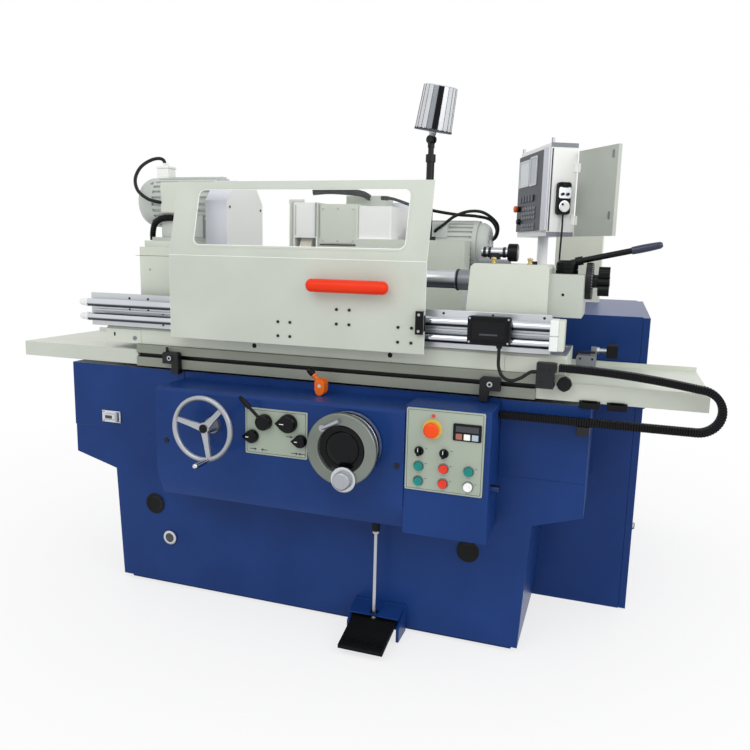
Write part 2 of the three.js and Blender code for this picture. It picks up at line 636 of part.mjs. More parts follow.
function controlPlateSolid() {
  const p = controlPlate;
  const plate = slab('y', roundedOutline(panelSpan, [p.bottom, p.top], p.corner), [panelFront, panelBack]);
  const screen = block([p.screenLeft, p.screenLeft + p.screenWidth],
    [panelFront - p.screenProud, panelFront + p.screenProud],
    [p.screenLow, p.screenLow + p.screenHeight]);
  const bezels = Object.values(buttonPlaces).map((place) => bar('y',
    [panelFront - button.bezelProud, panelBack], place, button.bezel, sides.small));
  const through = [panelFront - cutRun, panelBack + cutRun];
  const holes = Object.values(buttonPlaces).map((place) => bar('y', through, place, button.radius + pinGap,
    sides.small));
  const selectorHoles = Object.values(selectorPlaces).map((place) => bar('y', through, place,
    selector.stemRadius + pinGap, sides.tiny));
  const stopHole = bar('y', through, [stopButton.x, stopButton.z], stopButton.stemRadius + pinGap,
    sides.small);
  return cut(join(plate, screen, bezels), holes, selectorHoles, stopHole);
}
part('control_plate', controlPlateSolid(), finish.cream);

function buttonSolid() {
  const b = button;
  return turned('y', [0, 0], [
    [-b.bezelProud - b.capProud, 0], [-b.bezelProud - b.capProud, b.radius - runGap],
    [-b.bezelProud - b.capProud + runGap, b.radius],
    [controlPlate.thick + b.travel, b.radius], [controlPlate.thick + b.travel, b.stemRadius],
    [b.stemDepth, b.stemRadius], [b.stemDepth, 0],
  ], sides.small);
}

function buttonFinish(name) {
  if (name.startsWith('green')) return finish.green;
  return name.startsWith('red') ? finish.red : finish.white;
}
for (const [name, [x, z]] of Object.entries(buttonPlaces)) {
  part(name, buttonSolid(), buttonFinish(name)).position.set(x, panelFront, z);
}

function selectorSolid() {
  const s = selector;
  const body = turned('y', [0, 0], [
    [-seatGap, 0], [-seatGap, s.radius], [-s.skirt, s.radius], [-s.skirt, 0],
  ], sides.small);
  const grip = slab('y', roundedOutline([-s.barWidth / 2, s.barWidth / 2], [-s.radius, s.radius],
    s.barWidth / 3),
    [-s.skirt - s.barHeight, -seatGap * 2]);
  return join(body, grip, bar('y', [-s.skirt, s.stemDepth], [0, 0], s.stemRadius, sides.tiny));
}
for (const [name, [x, z]] of Object.entries(selectorPlaces)) {
  part(name, selectorSolid(), finish.black).position.set(x, panelFront, z);
}

function stopButtonSolid() {
  const s = stopButton;
  return turned('y', [0, 0], [
    [-s.stand - s.height, 0], [-s.stand - s.height, s.radius / 2],
      [-s.stand - s.height * 3 / 4, s.radius * 7 / 8],
    [-s.stand - s.height / 2, s.radius], [-s.stand, s.radius], [-s.stand, s.stemRadius],
    [s.stemDepth, s.stemRadius], [s.stemDepth, 0],
  ], sides.round);
}
part('emergency_stop', stopButtonSolid(), finish.orange).position.set(stopButton.x, panelFront, stopButton.z);

// Foot pedal and the rod that lifts out of it

const pedalPinZ = pedal.pinUp;
const pedalSpan = [pedal.x - pedal.bracketWidth / 2, pedal.x + pedal.bracketWidth / 2];

function pedalBracketSolid() {
  const p = pedal;
  const back = bedFront - seatGap;
  const cheek = outline([
    [back, p.bracketLow], [bedFront - p.bracketReach, p.bracketLow],
    [bedFront - p.bracketReach, pedalPinZ], [back, p.bracketHigh],
  ]);
  const cheeks = [[pedalSpan[0], pedalSpan[0] + p.bracketWall], [pedalSpan[1] - p.bracketWall, pedalSpan[1]]]
    .map((span) => slab('x', cheek, span));
  const backPlate = block(pedalSpan, [back - p.bracketWall, back], [p.bracketLow, p.bracketHigh]);
  const pin = bar('x', [pedalSpan[0] + seatGap, pedalSpan[1] - seatGap], [pedalPinY, pedalPinZ],
    p.pinRadius, sides.tiny);
  return join(cheeks, backPlate, pin);
}
part('pedal_bracket', pedalBracketSolid(), finish.blue);

// The pad hangs on the pin in two lugs, its tip low in front.
function footPedalSolid() {
  const p = pedal;
  const tipY = bedFront - p.padReach;
  const pad = outline([
    [pedalPinY, pedalPinZ + p.hubRadius], [pedalPinY - p.hubRadius, pedalPinZ],
    [tipY, p.padTipUp - p.padThick], [tipY, p.padTipUp],
    [pedalPinY - p.hubRadius * 2, pedalPinZ + p.hubRadius - seatGap],
  ]);
  const span = [p.x - p.padWidth / 2, p.x + p.padWidth / 2];
  const hub = bar('x', span, [pedalPinY, pedalPinZ], p.hubRadius, sides.small);
  const hole = bar('x', [span[0] - cutRun, span[1] + cutRun], [pedalPinY, pedalPinZ], p.pinRadius + pinGap,
    sides.tiny);
  return cut(join(slab('x', pad, span), hub), hole);
}
part('foot_pedal', footPedalSolid(), finish.black);

const rodFoot = pedalPinZ + pedal.hubRadius + seatGap;

function pedalRodSolid() {
  const r = pedalRod;
  return turned('z', [pedal.x, pedalRodY], [
    [rodFoot, 0], [rodFoot, r.footTip], [rodFoot + r.footRise, r.footRadius],
      [rodFoot + r.footHeight, r.footRadius],
    [rodFoot + r.footHeight, r.radius],
    [apron.bottom - r.collarDrop - r.collarLength, r.radius],
    [apron.bottom - r.collarDrop - r.collarLength, r.collarRadius],
    [apron.bottom - r.collarDrop, r.collarRadius], [apron.bottom - r.collarDrop, r.radius],
    [apron.bottom + r.intoApron, r.radius], [apron.bottom + r.intoApron, 0],
  ], sides.tiny);
}
part('pedal_rod', pedalRodSolid(), finish.grey);

// Table: the lower slide runs on the bed's ways and carries the wings, dogs and swivel table

function tableSolid() {
  const t = table;
  const body = block([-t.left, t.right], [-t.front, t.back], [tableLow, tableTop]);
  const mouth = block([-t.left - cutRun, t.right + cutRun], [-t.front - cutRun, -t.front + t.slotDepth],
    [slotZ - t.slotMouth / 2, slotZ + t.slotMouth / 2]);
  const throat = block([-t.left - cutRun, t.right + cutRun],
    [-t.front + t.slotDepth - seatGap, -t.front + t.slotDepth + t.slotBack],
    [slotZ - t.slotWide / 2, slotZ + t.slotWide / 2]);
  return cut(body, mouth, throat, way(cutRun, seatGap));
}
part('lower_table', tableSolid(), finish.cream);

// A wing is a folded tray, open underneath, with its back edge turned up.
function wingSolid([x0, x1], open) {
  const w = wing;
  const section = outline([
    [-w.front, w.low], [-w.front, w.high], [w.back - w.lipWall, w.high], [w.back - w.lipWall, w.high + w.lip],
    [w.back, w.high + w.lip], [w.back, w.low], [w.back - w.lipWall, w.low],
      [w.back - w.lipWall, w.high - w.wall],
    [-w.front + w.wall, w.high - w.wall], [-w.front + w.wall, w.low],
  ]);
  const tray = slab('x', section, [x0, x1]);
  const outer = open < 0 ? [x0, x0 + w.wall] : [x1 - w.wall, x1];
  return join(tray, block(outer, [-w.front, w.back], [w.low, w.high]));
}
part('left_wing', wingSolid([-wing.left, -table.left - seatGap], -1), finish.cream);

// The right wing also carries the chain's clamp, a locking knob and the swivel adjuster.
function clampSolid() {
  const c = clamp;
  const foot = block([c.left, c.left + c.width], [-wing.front - c.reach, -wing.front + runGap],
    [c.low, wing.high]);
  const body = block([c.left, c.left + c.width], [-wing.front - c.reach, -wing.front - c.standOff],
    [c.low, c.high]);
  const tail = block([c.left + c.width - cutRun, chain.topX - seatGap],
    [chain.y - chain.width / 2, chain.y + chain.width / 2],
    [chain.topZ - chain.height / 2, chain.topZ + chain.height / 2]);
  const stem = bar('y', [-wing.front - c.stem - runGap, -wing.front + runGap], [c.knobX, c.knobZ], c.stem,
    sides.tiny);
  const knob = bar('y', [-wing.front - c.stem - c.knobLength, -wing.front - c.stem], [c.knobX, c.knobZ],
    c.knobRadius, sides.small);
  return join(foot, body, tail, stem, knob);
}

function adjusterSolid() {
  const a = adjuster;
  const low = wing.high - runGap;
  const body = slab('y', roundedOutline([a.x, a.x + a.width], [low, low + a.height], a.screwRadius),
    [a.y - a.depth / 2, a.y + a.depth / 2]);
  const screw = bar('x', [a.x + a.width - runGap, a.x + a.width + a.screwLength + runGap],
    [a.y, low + a.screwUp],
    a.screwRadius, sides.tiny);
  const lug = block([a.x + a.width - a.lugWidth, a.x + a.width],
    [a.y - a.lugWidth / 2, a.y + a.lugWidth / 2], [low + a.height / 2, low + a.screwUp + a.lugRise]);
  const knob = slab('x', roundedOutline([a.y - a.knobRadius, a.y + a.knobRadius],
    [low + a.screwUp - a.knobRadius, low + a.screwUp + a.knobRadius], a.knobRadius / 3),
    [a.x + a.width + a.screwLength, a.x + a.width + a.screwLength + a.knobLength]);
  return join(body, lug, screw, knob);
}

function rightWingSolid() {
  return join(wingSolid([table.right + seatGap, wing.right], 1), clampSolid(), adjusterSolid());
}
part('right_wing', rightWingSolid(), finish.cream);

function dogSolid(legSide) {
  const d = dog;
  const front = -table.front - seatGap;
  const legSpan = [legSide * d.width / 2, legSide * (d.width / 2 - d.legWidth)].sort((a, b) => a - b);
  const body = block([-d.width / 2, d.width / 2], [front - d.thick, front], [-d.high / 2, d.high / 2]);
  const leg = block(legSpan, [front - d.thick, front], [-d.low, cutRun - d.high / 2]);
  const bolt = bar('y', [front - d.thick - d.boltLength, front - d.thick + runGap], [0, 0], d.boltRadius,
    sides.tiny);
  const neck = block([-d.nutWidth / 2, d.nutWidth / 2], [front - runGap, -table.front + table.slotDepth],
    [-table.slotMouth / 2 + runGap, table.slotMouth / 2 - runGap]);
  const nut = block([-d.nutWidth / 2, d.nutWidth / 2],
    [-table.front + table.slotDepth + seatGap, -table.front + table.slotDepth + table.slotBack - runGap],
    [-table.slotWide / 2 + runGap, table.slotWide / 2 - runGap]);
  const stem = block([-table.slotMouth / 2, table.slotMouth / 2],
    [front - runGap, -table.front + table.slotDepth + runGap],
    [-table.slotMouth / 2 + runGap, table.slotMouth / 2 - runGap]);
  return join(body, leg, bolt, neck, nut, stem);
}

// The left dog is the mirrored one and carries an upright locking pin.
function leftDogSolid() {
  const d = dog;
  const pin = bar('z', [-d.high / 2 + runGap, d.high / 2 + d.pinHeight],
    [-d.width / 2 + d.pinInset, -table.front - seatGap - d.thick / 2], d.pinRadius, sides.tiny);
  return join(dogSolid(1), pin);
}
part('left_dog', leftDogSolid(), finish.black).position.set(dog.leftX, 0, slotZ);
part('right_dog', dogSolid(-1), finish.black).position.set(dog.rightX, 0, slotZ);

// The swivel table carries the workhead, the tailstock and the guard's rails.
const topTableSection = [
  [-topTable.front, topTableLow], [topTable.back, topTableLow], [topTable.back, workTop],
  [-topTable.front + topTable.edge, workTop], [-topTable.front, workTop - topTable.edge],
];

function topTableSolid() {
  const t = topTable;
  const body = slab('x', outline(topTableSection), [-t.left, t.right]);
  const slot = block([-t.left - cutRun, t.right + cutRun],
    [t.back - t.slotFront, t.back - t.slotFront + t.slotWidth],
    [workTop - t.slotDepth, workTop + cutRun]);
  const ends = [[-t.left, -t.endLeft], [t.endLeft + t.endProud, t.right]].map((span) => block(span,
    [-t.front - t.endProud, -t.front + runGap], [topTableLow, workTop - t.edge]));
  return join(cut(body, slot), ends);
}
part('upper_table', topTableSolid(), finish.cream);

// Two round rails stand off a plate along the front of the swivel table.
const railLow = workTop + seatGap;
const upperRail = railLow + rails.upper;
const lowerRail = railLow + rails.lower;

function railsSolid() {
  const r = rails;
  const plate = block([-r.left, r.right], [railFront, -r.back], [railLow, railLow + r.height]);
  const pieces = [upperRail, lowerRail].flatMap((z) => [
    bar('x', [-r.rodLeft, r.right + r.blockWidth / 2], [rodY, z], r.rodRadius, sides.small),
    bar('x', [-r.rodLeft - r.capLength, -r.rodLeft + runGap], [rodY, z], r.capRadius, sides.tiny),
    block([-r.left, r.right], [rodY, railFront + runGap], [z - r.webThick / 2, z + r.webThick / 2]),
  ]);
  const end = block([r.right - runGap, r.right + r.blockWidth],
    [railFront + r.thick - r.blockReach - r.thick, -r.back],
    [railLow + r.blockLow, railLow + r.blockHigh]);
  return join(plate, pieces, end);
}
part('slide_rails', railsSolid(), finish.steel);

const rodFront = rodY - rails.rodRadius - seatGap;

function interlockSolid() {
  const k = interlock;
  return block([k.left, k.right], [rodFront - k.thick, rodFront], [k.low, k.high]);
}
part('interlock_block', interlockSolid(), finish.black);

const leadPoints = [
  [632, -296, 984.4], [632, -296, 960], [634, -298, 920], [648, -300, 893], [672, -302, 884],
    [698, -300, 893],
  [716, -296, 906], [728, -291, 913], [741.4, -290, 914],
];
part('interlock_lead', tube(leadPoints, interlock.leadRadius, sides.cord, interlock.leadSteps), finish.black);

// The sliding guard: a folded panel with a window, hung on carriages on the rails

const foldZ = guard.low + guard.skirt;
const guardTop = foldZ + guard.slopeHeight;
const guardSlope = guard.tilt / guard.slopeHeight;
const windowRise = [foldZ + guard.windowUp, foldZ + guard.windowUp + guard.windowHeight];
const guardBack = -guard.front + guard.sheet;

function tiltedY(z) {
  return -guard.front + guardSlope * (z - foldZ);
}

function guardSection(thick, low, high) {
  return [
    [-guard.front, low], [-guard.front, foldZ], [tiltedY(high), high],
    [tiltedY(high) + thick, high], [-guard.front + thick, foldZ], [-guard.front + thick, low],
  ];
}

function guardSolid() {
  const g = guard;
  const sheet = slab('x', outline(guardSection(g.sheet, g.low, guardTop)), [-g.left, g.right]);
  const windowHole = slab('y', roundedOutline([-g.windowLeft, g.windowRight], windowRise, g.corner),
    [-g.front - cutRun, tiltedY(guardTop) + cutRun]);
  const cheek = slab('x', outline(guardSection(g.returnDepth, foldZ - g.corner, guardTop)),
    [-g.left, -g.left + g.sheet]);
  const carriages = [-g.left + g.carriageInset, (g.right - g.left) / 2 - g.carriageWidth,
    g.right - g.carriageInset]
    .flatMap((x) => [upperRail, lowerRail].map((z) => block([x, x + g.carriageWidth],
      [guardBack - runGap, railFront - runGap], [z - g.carriageHeight / 2, z + g.carriageHeight / 2])));
  const bores = [upperRail, lowerRail].flatMap((z) => [
    bar('x', [-g.left - cutRun, g.right + cutRun], [rodY, z], rails.rodRadius + seatGap, sides.small),
    block([-g.left - cutRun, g.right + cutRun], [rodY, railFront],
      [z - rails.webThick / 2 - runGap, z + rails.webThick / 2 + runGap]),
  ]);
  const strike = block([g.right - g.strikeWidth, g.right], [-g.front - g.strikeThick, -g.front + runGap],
    [g.strikeLow, g.strikeHigh]);
  return join(cut(sheet, windowHole), cheek, strike, cut(join(carriages), bores));
}
part('guard_panel', guardSolid(), finish.cream);

// The pane lies in the window with a running gap all round.
function paneSolid() {
  const g = guard;
  const pane = slab('y', roundedOutline([-g.windowLeft + seatGap, g.windowRight - seatGap],
    [windowRise[0] + seatGap, windowRise[1] - seatGap], g.corner),
      [-g.front - cutRun, tiltedY(guardTop) + cutRun]);
  const sheet = slab('x', outline(guardSection(g.sheet, foldZ, guardTop)), [-g.left, g.right]);
  return sheet.intersect(pane);
}
part('guard_window', paneSolid(), finish.glass);

function handleSolid() {
  const h = handle;
  const front = -guard.front - seatGap;
  const z = foldZ - h.drop;
  const grip = turned('x', [front - h.stand, z], [
    [h.left, 0], [h.left + h.radius / 3, h.radius * Math.SQRT1_2], [h.left + h.radius, h.radius],
    [h.right - h.radius, h.radius], [h.right - h.radius / 3, h.radius * Math.SQRT1_2], [h.right, 0],
  ], sides.small);
  const feet = [h.left + h.foot, h.right - h.foot].map((x) => bar('y', [front - h.stand, front], [x, z],
    h.foot / 2, sides.tiny));
  return join(grip, feet);
}
part('guard_handle', handleSolid(), finish.orange);

// Workhead: spindle housing, motor on top, belt guard and faceplate

function finnedProfile(count, radius, depth, share) {
  const points = [];
  for (let i = 0; i < count; i += 1) {
    const step = turn / count;
    for (const [offset, reach] of [[0, radius], [share / 2, radius], [share / 2, radius - depth],
      [1 - share / 2, radius - depth]]) {
      const angle = step * (i + offset);
      points.push([reach * Math.cos(angle), reach * Math.sin(angle)]);
    }
  }
  return points;
}

function finnedBody([x0, x1], [y, z], count, radius, depth, share) {
  const shape = outline(finnedProfile(count, radius, depth, share).map(([u, v]) => [u + y, v + z]));
  return slab('x', shape, [x0, x1]);
}

function workheadSolid() {
  const w = workhead;
  const low = workTop + seatGap;
  const base = block([-w.left - w.baseOver, -w.right], [-w.front - w.baseOver, w.back],
    [low, low + w.baseHeight]);
  const housing = slab('z', roundedOutline([-w.left, -w.right], [-w.front, w.back], w.edge), [low, w.top]);
  const seat = block([-w.seatLeft, -w.right], [-w.front + w.padInset / 2, w.back - w.padInset / 2],
    [w.top - runGap, w.top + w.seatHeight]);
  const pad = block([-w.padLeft, -w.right], [-w.front + w.padInset, w.back - w.padInset],
    [w.top + w.seatHeight - runGap, w.top + w.seatHeight + w.padHeight]);
  const bore = bar('x', [-w.right - facePlate.noseDepth, -w.right + cutRun], [axis.y, axis.z],
    facePlate.noseRadius - cutRun + runGap, sides.round);
  return cut(join(base, housing, seat, pad), bore);
}
const motorSeat = workhead.top + workhead.seatHeight + workhead.padHeight + seatGap;
part('workhead_body', workheadSolid(), finish.cream);

// A thin conduit loops from the motor's flank to its terminal box, and a hose from its foot.
const conduitPoints = [
  [-598, -134, 1396], [-608, -164, 1396], [-640, -182, 1406], [-684, -176, 1436], [-714, -146, 1480],
  [-712, -112, 1524], [-684, -80, 1552], [-654, -64, 1552], [-644, -60, 1518],
];
const hosePoints = [
  [-651, -140, 1264], [-651, -140, 1290], [-641, -142, 1320], [-614, -146, 1338], [-584, -146, 1342],
  [-560, -134, 1342], [-553, -110, 1346],
];
const conduitSteps = 15;
const hoseSteps = 10;
const headHoseSteps = 13;

function headMotorSolid() {
  const m = headMotor;
  const right = -workhead.right;
  const centre = [axis.y, m.z];
  const body = finnedBody([-m.finLeft, right], centre, m.fins, m.radius, m.finDepth, m.finShare);
  const cap = turned('x', centre, [
    [-m.left, 0], [-m.left, m.capRadius / 2], [-m.left + m.capLength / 6, m.capRadius * 7 / 8],
    [-m.left + m.capLength / 2, m.capRadius], [-m.finLeft + runGap, m.capRadius], [-m.finLeft + runGap, 0],
  ], sides.round);
  const middle = (-m.finLeft + right) / 2;
  const foot = block([middle - m.footLength / 2, middle + m.footLength / 2],
    [axis.y - m.footWidth / 2, axis.y + m.footWidth / 2], [motorSeat, m.z - m.radius / 2]);
  const terminal = block(m.terminalX, m.terminalY, [m.z + m.radius - m.finDepth * 2, m.terminalTop]);
  return join(body, cap, foot, terminal, tube(conduitPoints, m.conduitRadius, sides.thin, conduitSteps),
    tube(hosePoints, m.hoseRadius, sides.cord, hoseSteps));
}
part('workhead_motor', headMotorSolid(), finish.grey);

const beltLeft = -workhead.right + seatGap;

function beltGuardSolid() {
  const b = beltGuard;
  const side = outline([
    [-b.front, b.low], [b.back, b.low], [b.back, b.shoulder], [b.back - b.chamfer, b.top],
    [-b.front + b.chamfer, b.top], [-b.front, b.shoulder],
  ]);
  const bore = bar('x', [beltLeft - cutRun, -b.right + cutRun], [axis.y, axis.z], b.bore, sides.round);
  return cut(slab('x', side, [beltLeft, -b.right]), bore);
}
part('workhead_belt_guard', beltGuardSolid(), finish.cream);

function facePlateSolid() {
  const f = facePlate;
  const back = -beltGuard.right + runGap;
  const spindleEnd = -workhead.right - f.noseDepth + runGap;
  const body = turned('x', [axis.y, axis.z], [
    [spindleEnd, 0], [spindleEnd, f.noseRadius - cutRun], [-workhead.right, f.noseRadius - cutRun],
    [-workhead.right + runGap, f.noseRadius - cutRun], [back, f.hubRadius], [back, f.radius],
      [back + f.thick, f.radius],
    [back + f.thick, f.hubRadius / 2], [back + f.thick + f.hubLength, f.centreRadius],
    [back + f.thick + f.hubLength + f.centreLength, 0],
  ]);
  const slots = [];
  for (let i = 0; i < f.slots; i += 1) {
    const geometry = new THREE.BoxGeometry(f.thick + cutRun * 2, f.slotWidth, f.slotOuter - f.slotInner);
    geometry.translate(back + f.thick / 2, 0, (f.slotInner + f.slotOuter) / 2);
    geometry.rotateX(turn * i / f.slots).translate(0, axis.y, axis.z);
    slots.push(solid(geometry));
  }
  return cut(body, slots);
}
part('workhead_faceplate', facePlateSolid(), finish.steel);

// Tailstock

function tailstockSolid() {
  const t = tailstock;
  const low = workTop + seatGap;
  const face = outline([
    [t.left - t.lean, low], [t.right, low], [t.right, t.top - t.edge], [t.right - t.edge, t.top],
    [t.left + t.lean + t.edge, t.top], [t.left + t.lean, t.top - t.edge],
  ]);
  const housing = slab('y', face, [-t.front, t.back]);
  const tail = block([t.right - runGap, t.blockRight], [-t.blockFront, t.blockBack],
    [t.blockLow, t.blockTop]);
  const collar = bar('x', [t.collarLeft, t.left + cutRun], [axis.y, axis.z], t.collarRadius, sides.round);
  const bore = bar('x', [t.collarLeft - cutRun, quill.right + cutRun * 4], [axis.y, axis.z],
    quill.radius + quill.clear, sides.round);
  const leverHole = bar('z', [t.blockTop - quillLever.stemDepth - runGap, t.blockTop + cutRun],
    [quillLever.x, axis.y], quillLever.stemRadius + quill.clear, sides.small);
  const knobHole = bar('x', [t.blockRight - quillKnob.stemDepth - runGap, t.blockRight + cutRun],
    [axis.y, axis.z + quillKnob.neckRadius / 2],
    quillKnob.stemRadius + quill.clear, sides.small);
  return cut(join(housing, tail, collar), bore, leverHole, knobHole);
}
part('tailstock_body', tailstockSolid(), finish.cream);

function quillSolid() {
  const q = quill;
  return turned('x', [axis.y, axis.z], [
    [q.left - q.centreLength, 0], [q.left - q.centreLength + q.centreRadius * 2, q.centreRadius],
    [q.left, q.centreRadius], [q.left, q.radius - runGap], [q.left + runGap, q.radius], [q.right, q.radius],
      [q.right, 0],
  ], sides.round);
}
part('tailstock_quill', quillSolid(), finish.steel);

// The lever's hub rests on the tailstock's rear block, which is z = 0 in its own frame.
function quillLeverSolid() {
  const l = quillLever;
  const hub = turned('z', [0, 0], [
    [-l.stemDepth, 0], [-l.stemDepth, l.stemRadius], [seatGap, l.stemRadius], [seatGap, l.hubRadius],
    [l.hubHeight - runGap * 2, l.hubRadius], [l.hubHeight, l.hubRadius - runGap * 3], [l.hubHeight, 0],
  ], sides.round);
  const slope = Math.tan(l.rise * degree);
  const at = (x) => [x, 0, l.hubHeight * 3 / 4 + x * slope];
  const end = l.barStart + l.barLength;
  const rod = strut(at(0), at(end), l.barRadius);
  const grip = strut(at(end - runGap), at(end + l.gripLength), l.gripRadius, sides.small);
  return join(hub, rod, grip);
}
part('tailstock_lever', quillLeverSolid(), finish.black)
  .position.set(quillLever.x, axis.y, tailstock.blockTop);

function quillKnobSolid() {
  const k = quillKnob;
  const points = [];
  for (let i = 0; i < k.lobes * 4; i += 1) {
    const angle = turn * i / (k.lobes * 4);
    const reach = k.radius * (1 + k.lobeShare * Math.cos(angle * k.lobes));
    points.push([reach * Math.cos(angle), reach * Math.sin(angle)]);
  }
  const start = k.flangeThick + k.neckLength;
  const star = slab('x', outline(points), [start, start + k.thick]);
  const body = turned('x', [0, 0], [
    [-k.stemDepth, 0], [-k.stemDepth, k.stemRadius], [seatGap, k.stemRadius], [seatGap, k.flangeRadius],
    [k.flangeThick, k.flangeRadius], [k.flangeThick, k.neckRadius], [start + runGap, k.neckRadius],
      [start + runGap, 0],
  ], sides.round);
  return join(body, star);
}
part('tailstock_knob', quillKnobSolid(), finish.black)
  .position.set(tailstock.blockRight, axis.y, axis.z + quillKnob.neckRadius / 2);

function dresserSolid() {
  const d = dresser;
  const low = tailstock.top + seatGap;
  const z = low + d.barUp;
  const base = block([d.left, d.left + d.width], [-d.front, -d.back], [low, low + d.baseHeight]);
  const y = (-d.front - d.back) / 2;
  const stand = block([d.x - d.holderWidth / 2, d.x + d.holderWidth / 2], [y - d.barRadius, y + d.barRadius],
    [low + runGap, z]);
  const barrel = bar('x', [d.left, d.left + d.width], [y, z], d.barRadius, sides.small);
  const knob = bar('x', [d.left + d.width - runGap, d.left + d.width + d.knobLength], [y, z], d.knobRadius,
    sides.small);
  const tip = bar('y', [y, y + d.tipLength], [d.left + d.barRadius, z], d.tipRadius, sides.tiny);
  return join(base, stand, barrel, knob, tip);
}
part('wheel_dresser', dresserSolid(), finish.black);

// Wheelhead: it slides across the bed behind the table

function crossSlideSolid() {
  const s = slide;
  return block([-s.left, s.right], [s.front, s.back], [rearWayTop + seatGap, s.top]);
}
part('cross_slide', crossSlideSolid(), finish.grey);

// Cables and hoses over the wheelhead, seen through the guard's window and beside it
const bundlePoints = [
  [-40, 490, 1452], [-60, 440, 1470], [-118, 400, 1476], [-190, 378, 1478], [-248, 362, 1472],
];
const highHosePoints = [
  [34, 398, 1452], [80, 402, 1448], [150, 410, 1426], [241, 420, 1405], [330, 440, 1392], [400, 470, 1388],
  [446, 530, 1376], [462, 590, 1336], [446, 580, 1296], [430, 556, 1290],
];
const lowHosePoints = [
  [250, 436, 1312], [254, 404, 1328], [286, 402, 1352], [326, 410, 1384], [380, 424, 1404],
  [432, 460, 1400], [474, 520, 1360], [466, 548, 1310], [430, 530, 1290],
];

function wheelheadSolid() {
  const w = wheelhead;
  const front = block([-w.left, w.right], [w.front, w.frontBack], [headLow, w.top]);
  const rear = block([-w.left, w.right], [w.frontBack - runGap, w.back], [headLow, w.rearTop]);
  const leftBox = slab('z', roundedOutline([-w.left, -w.boxSplit], [w.front, w.boxBack], w.edge),
    [headLow, w.leftTop]);
  const rightBox = slab('z', roundedOutline([-w.boxSplit - runGap, w.boxRight],
    [w.front + w.edge, w.boxBack], w.edge),
    [headLow, w.rightTop]);
  const bore = bar('x', [-w.left - cutRun, -w.left + grindWheel.shaftDepth + runGap], [wheelY, axis.z],
    grindWheel.shaftRadius + runGap, sides.round);
  const drive = bar('z', [w.rearTop - runGap, upperDrive.top], [upperDrive.x, upperDrive.y],
    upperDrive.radius, sides.round);
  const box = block([-upperBox.left, upperBox.right], [upperBox.front, upperBox.back],
    [w.rearTop, upperBox.top]);
  return cut(join(front, rear, leftBox, rightBox, drive, box,
    tube(bundlePoints, hoseRadii.bundle, sides.cord, hoseSteps)), bore);
}
part('wheelhead_body', wheelheadSolid(), finish.cream);

function headDriveSolid() {
  const m = headDrive;
  const centre = [m.y, m.z];
  const fins = finnedBody([m.left + seatGap, m.right - m.capLength], centre, m.fins, m.radius, m.finDepth,
    m.finShare);
  const cap = turned('x', centre, [
    [m.right - m.capLength - runGap, 0], [m.right - m.capLength - runGap, m.radius - m.finDepth],
    [m.right - m.capLength / 2, m.radius - m.finDepth], [m.right, m.radius * 3 / 4], [m.right, 0],
  ], sides.round);
  const foot = block([m.left + m.footInset, m.right - m.capLength - m.footInset],
    [m.y - m.footWidth / 2, m.y + m.footWidth / 2],
    [wheelhead.rearTop + seatGap, m.z - m.radius / 2]);
  const hoses = [highHosePoints, lowHosePoints].map((points) => tube(points, hoseRadii.single, sides.thin,
    headHoseSteps));
  return join(fins, cap, foot, hoses);
}
part('wheelhead_motor', headDriveSolid(), finish.grey);

function grindWheelSolid() {
  const w = grindWheel;
  const half = w.width / 2;
  return turned('x', [wheelY, axis.z], [
    [w.x - half - w.flangeThick - w.nutLength, 0], [w.x - half - w.flangeThick - w.nutLength, w.nutRadius],
    [w.x - half - w.flangeThick + runGap, w.nutRadius], [w.x - half - w.flangeThick + runGap, w.flangeRadius],
    [w.x - half, w.flangeRadius], [w.x - half, w.radius], [w.x + half, w.radius],
      [w.x + half, w.flangeRadius],
    [w.x + half + w.flangeThick / 2, w.flangeRadius], [w.x + half + w.flangeThick / 2, w.shaftRadius],
    [-wheelhead.left + w.shaftDepth, w.shaftRadius], [-wheelhead.left + w.shaftDepth, 0],
  ]);
}
part('grinding_wheel', grindWheelSolid(), finish.stone);

// The coolant pipe hangs down the guard's left side from a short arm on its top.
function coolantSolid() {
  const c = coolantPipe;
  const top = wheelGuard.top + c.cap / 2 - runGap;
  const down = bar('z', [c.low, top], [c.x, c.y], c.radius, sides.tiny);
  const over = bar('x', [c.x - c.radius, -wheelGuard.left + c.bend], [c.y, top], c.cap / 2, sides.tiny);
  return join(down, over);
}

function wheelGuardSolid() {
  const g = wheelGuard;
  const right = -wheelhead.left - seatGap;
  const side = new THREE.Shape();
  side.moveTo(g.front, headLow);
  side.lineTo(g.back, headLow);
  side.absarc(g.back - g.corner, g.top - g.corner, g.corner, 0, quarter);
  side.lineTo(g.front, g.top);
  side.closePath();
  const box = slab('x', side, [-g.left, right]);
  const hollow = bar('x', [-g.left + g.wall, right - g.wall], [wheelY, axis.z], grindWheel.radius + g.clear,
    sides.fine);
  const mouth = block([-g.left + g.wall, right - g.wall], [g.front - cutRun, wheelY],
    [g.mouthLow, g.mouthHigh]);
  const shaft = bar('x', [right - cutRun, right + cutRun], [wheelY, axis.z], g.shaftHole, sides.round);
  return join(cut(box, hollow, mouth, shaft), coolantSolid());
}
part('wheel_guard', wheelGuardSolid(), finish.cream);

// Lamp on the wheelhead

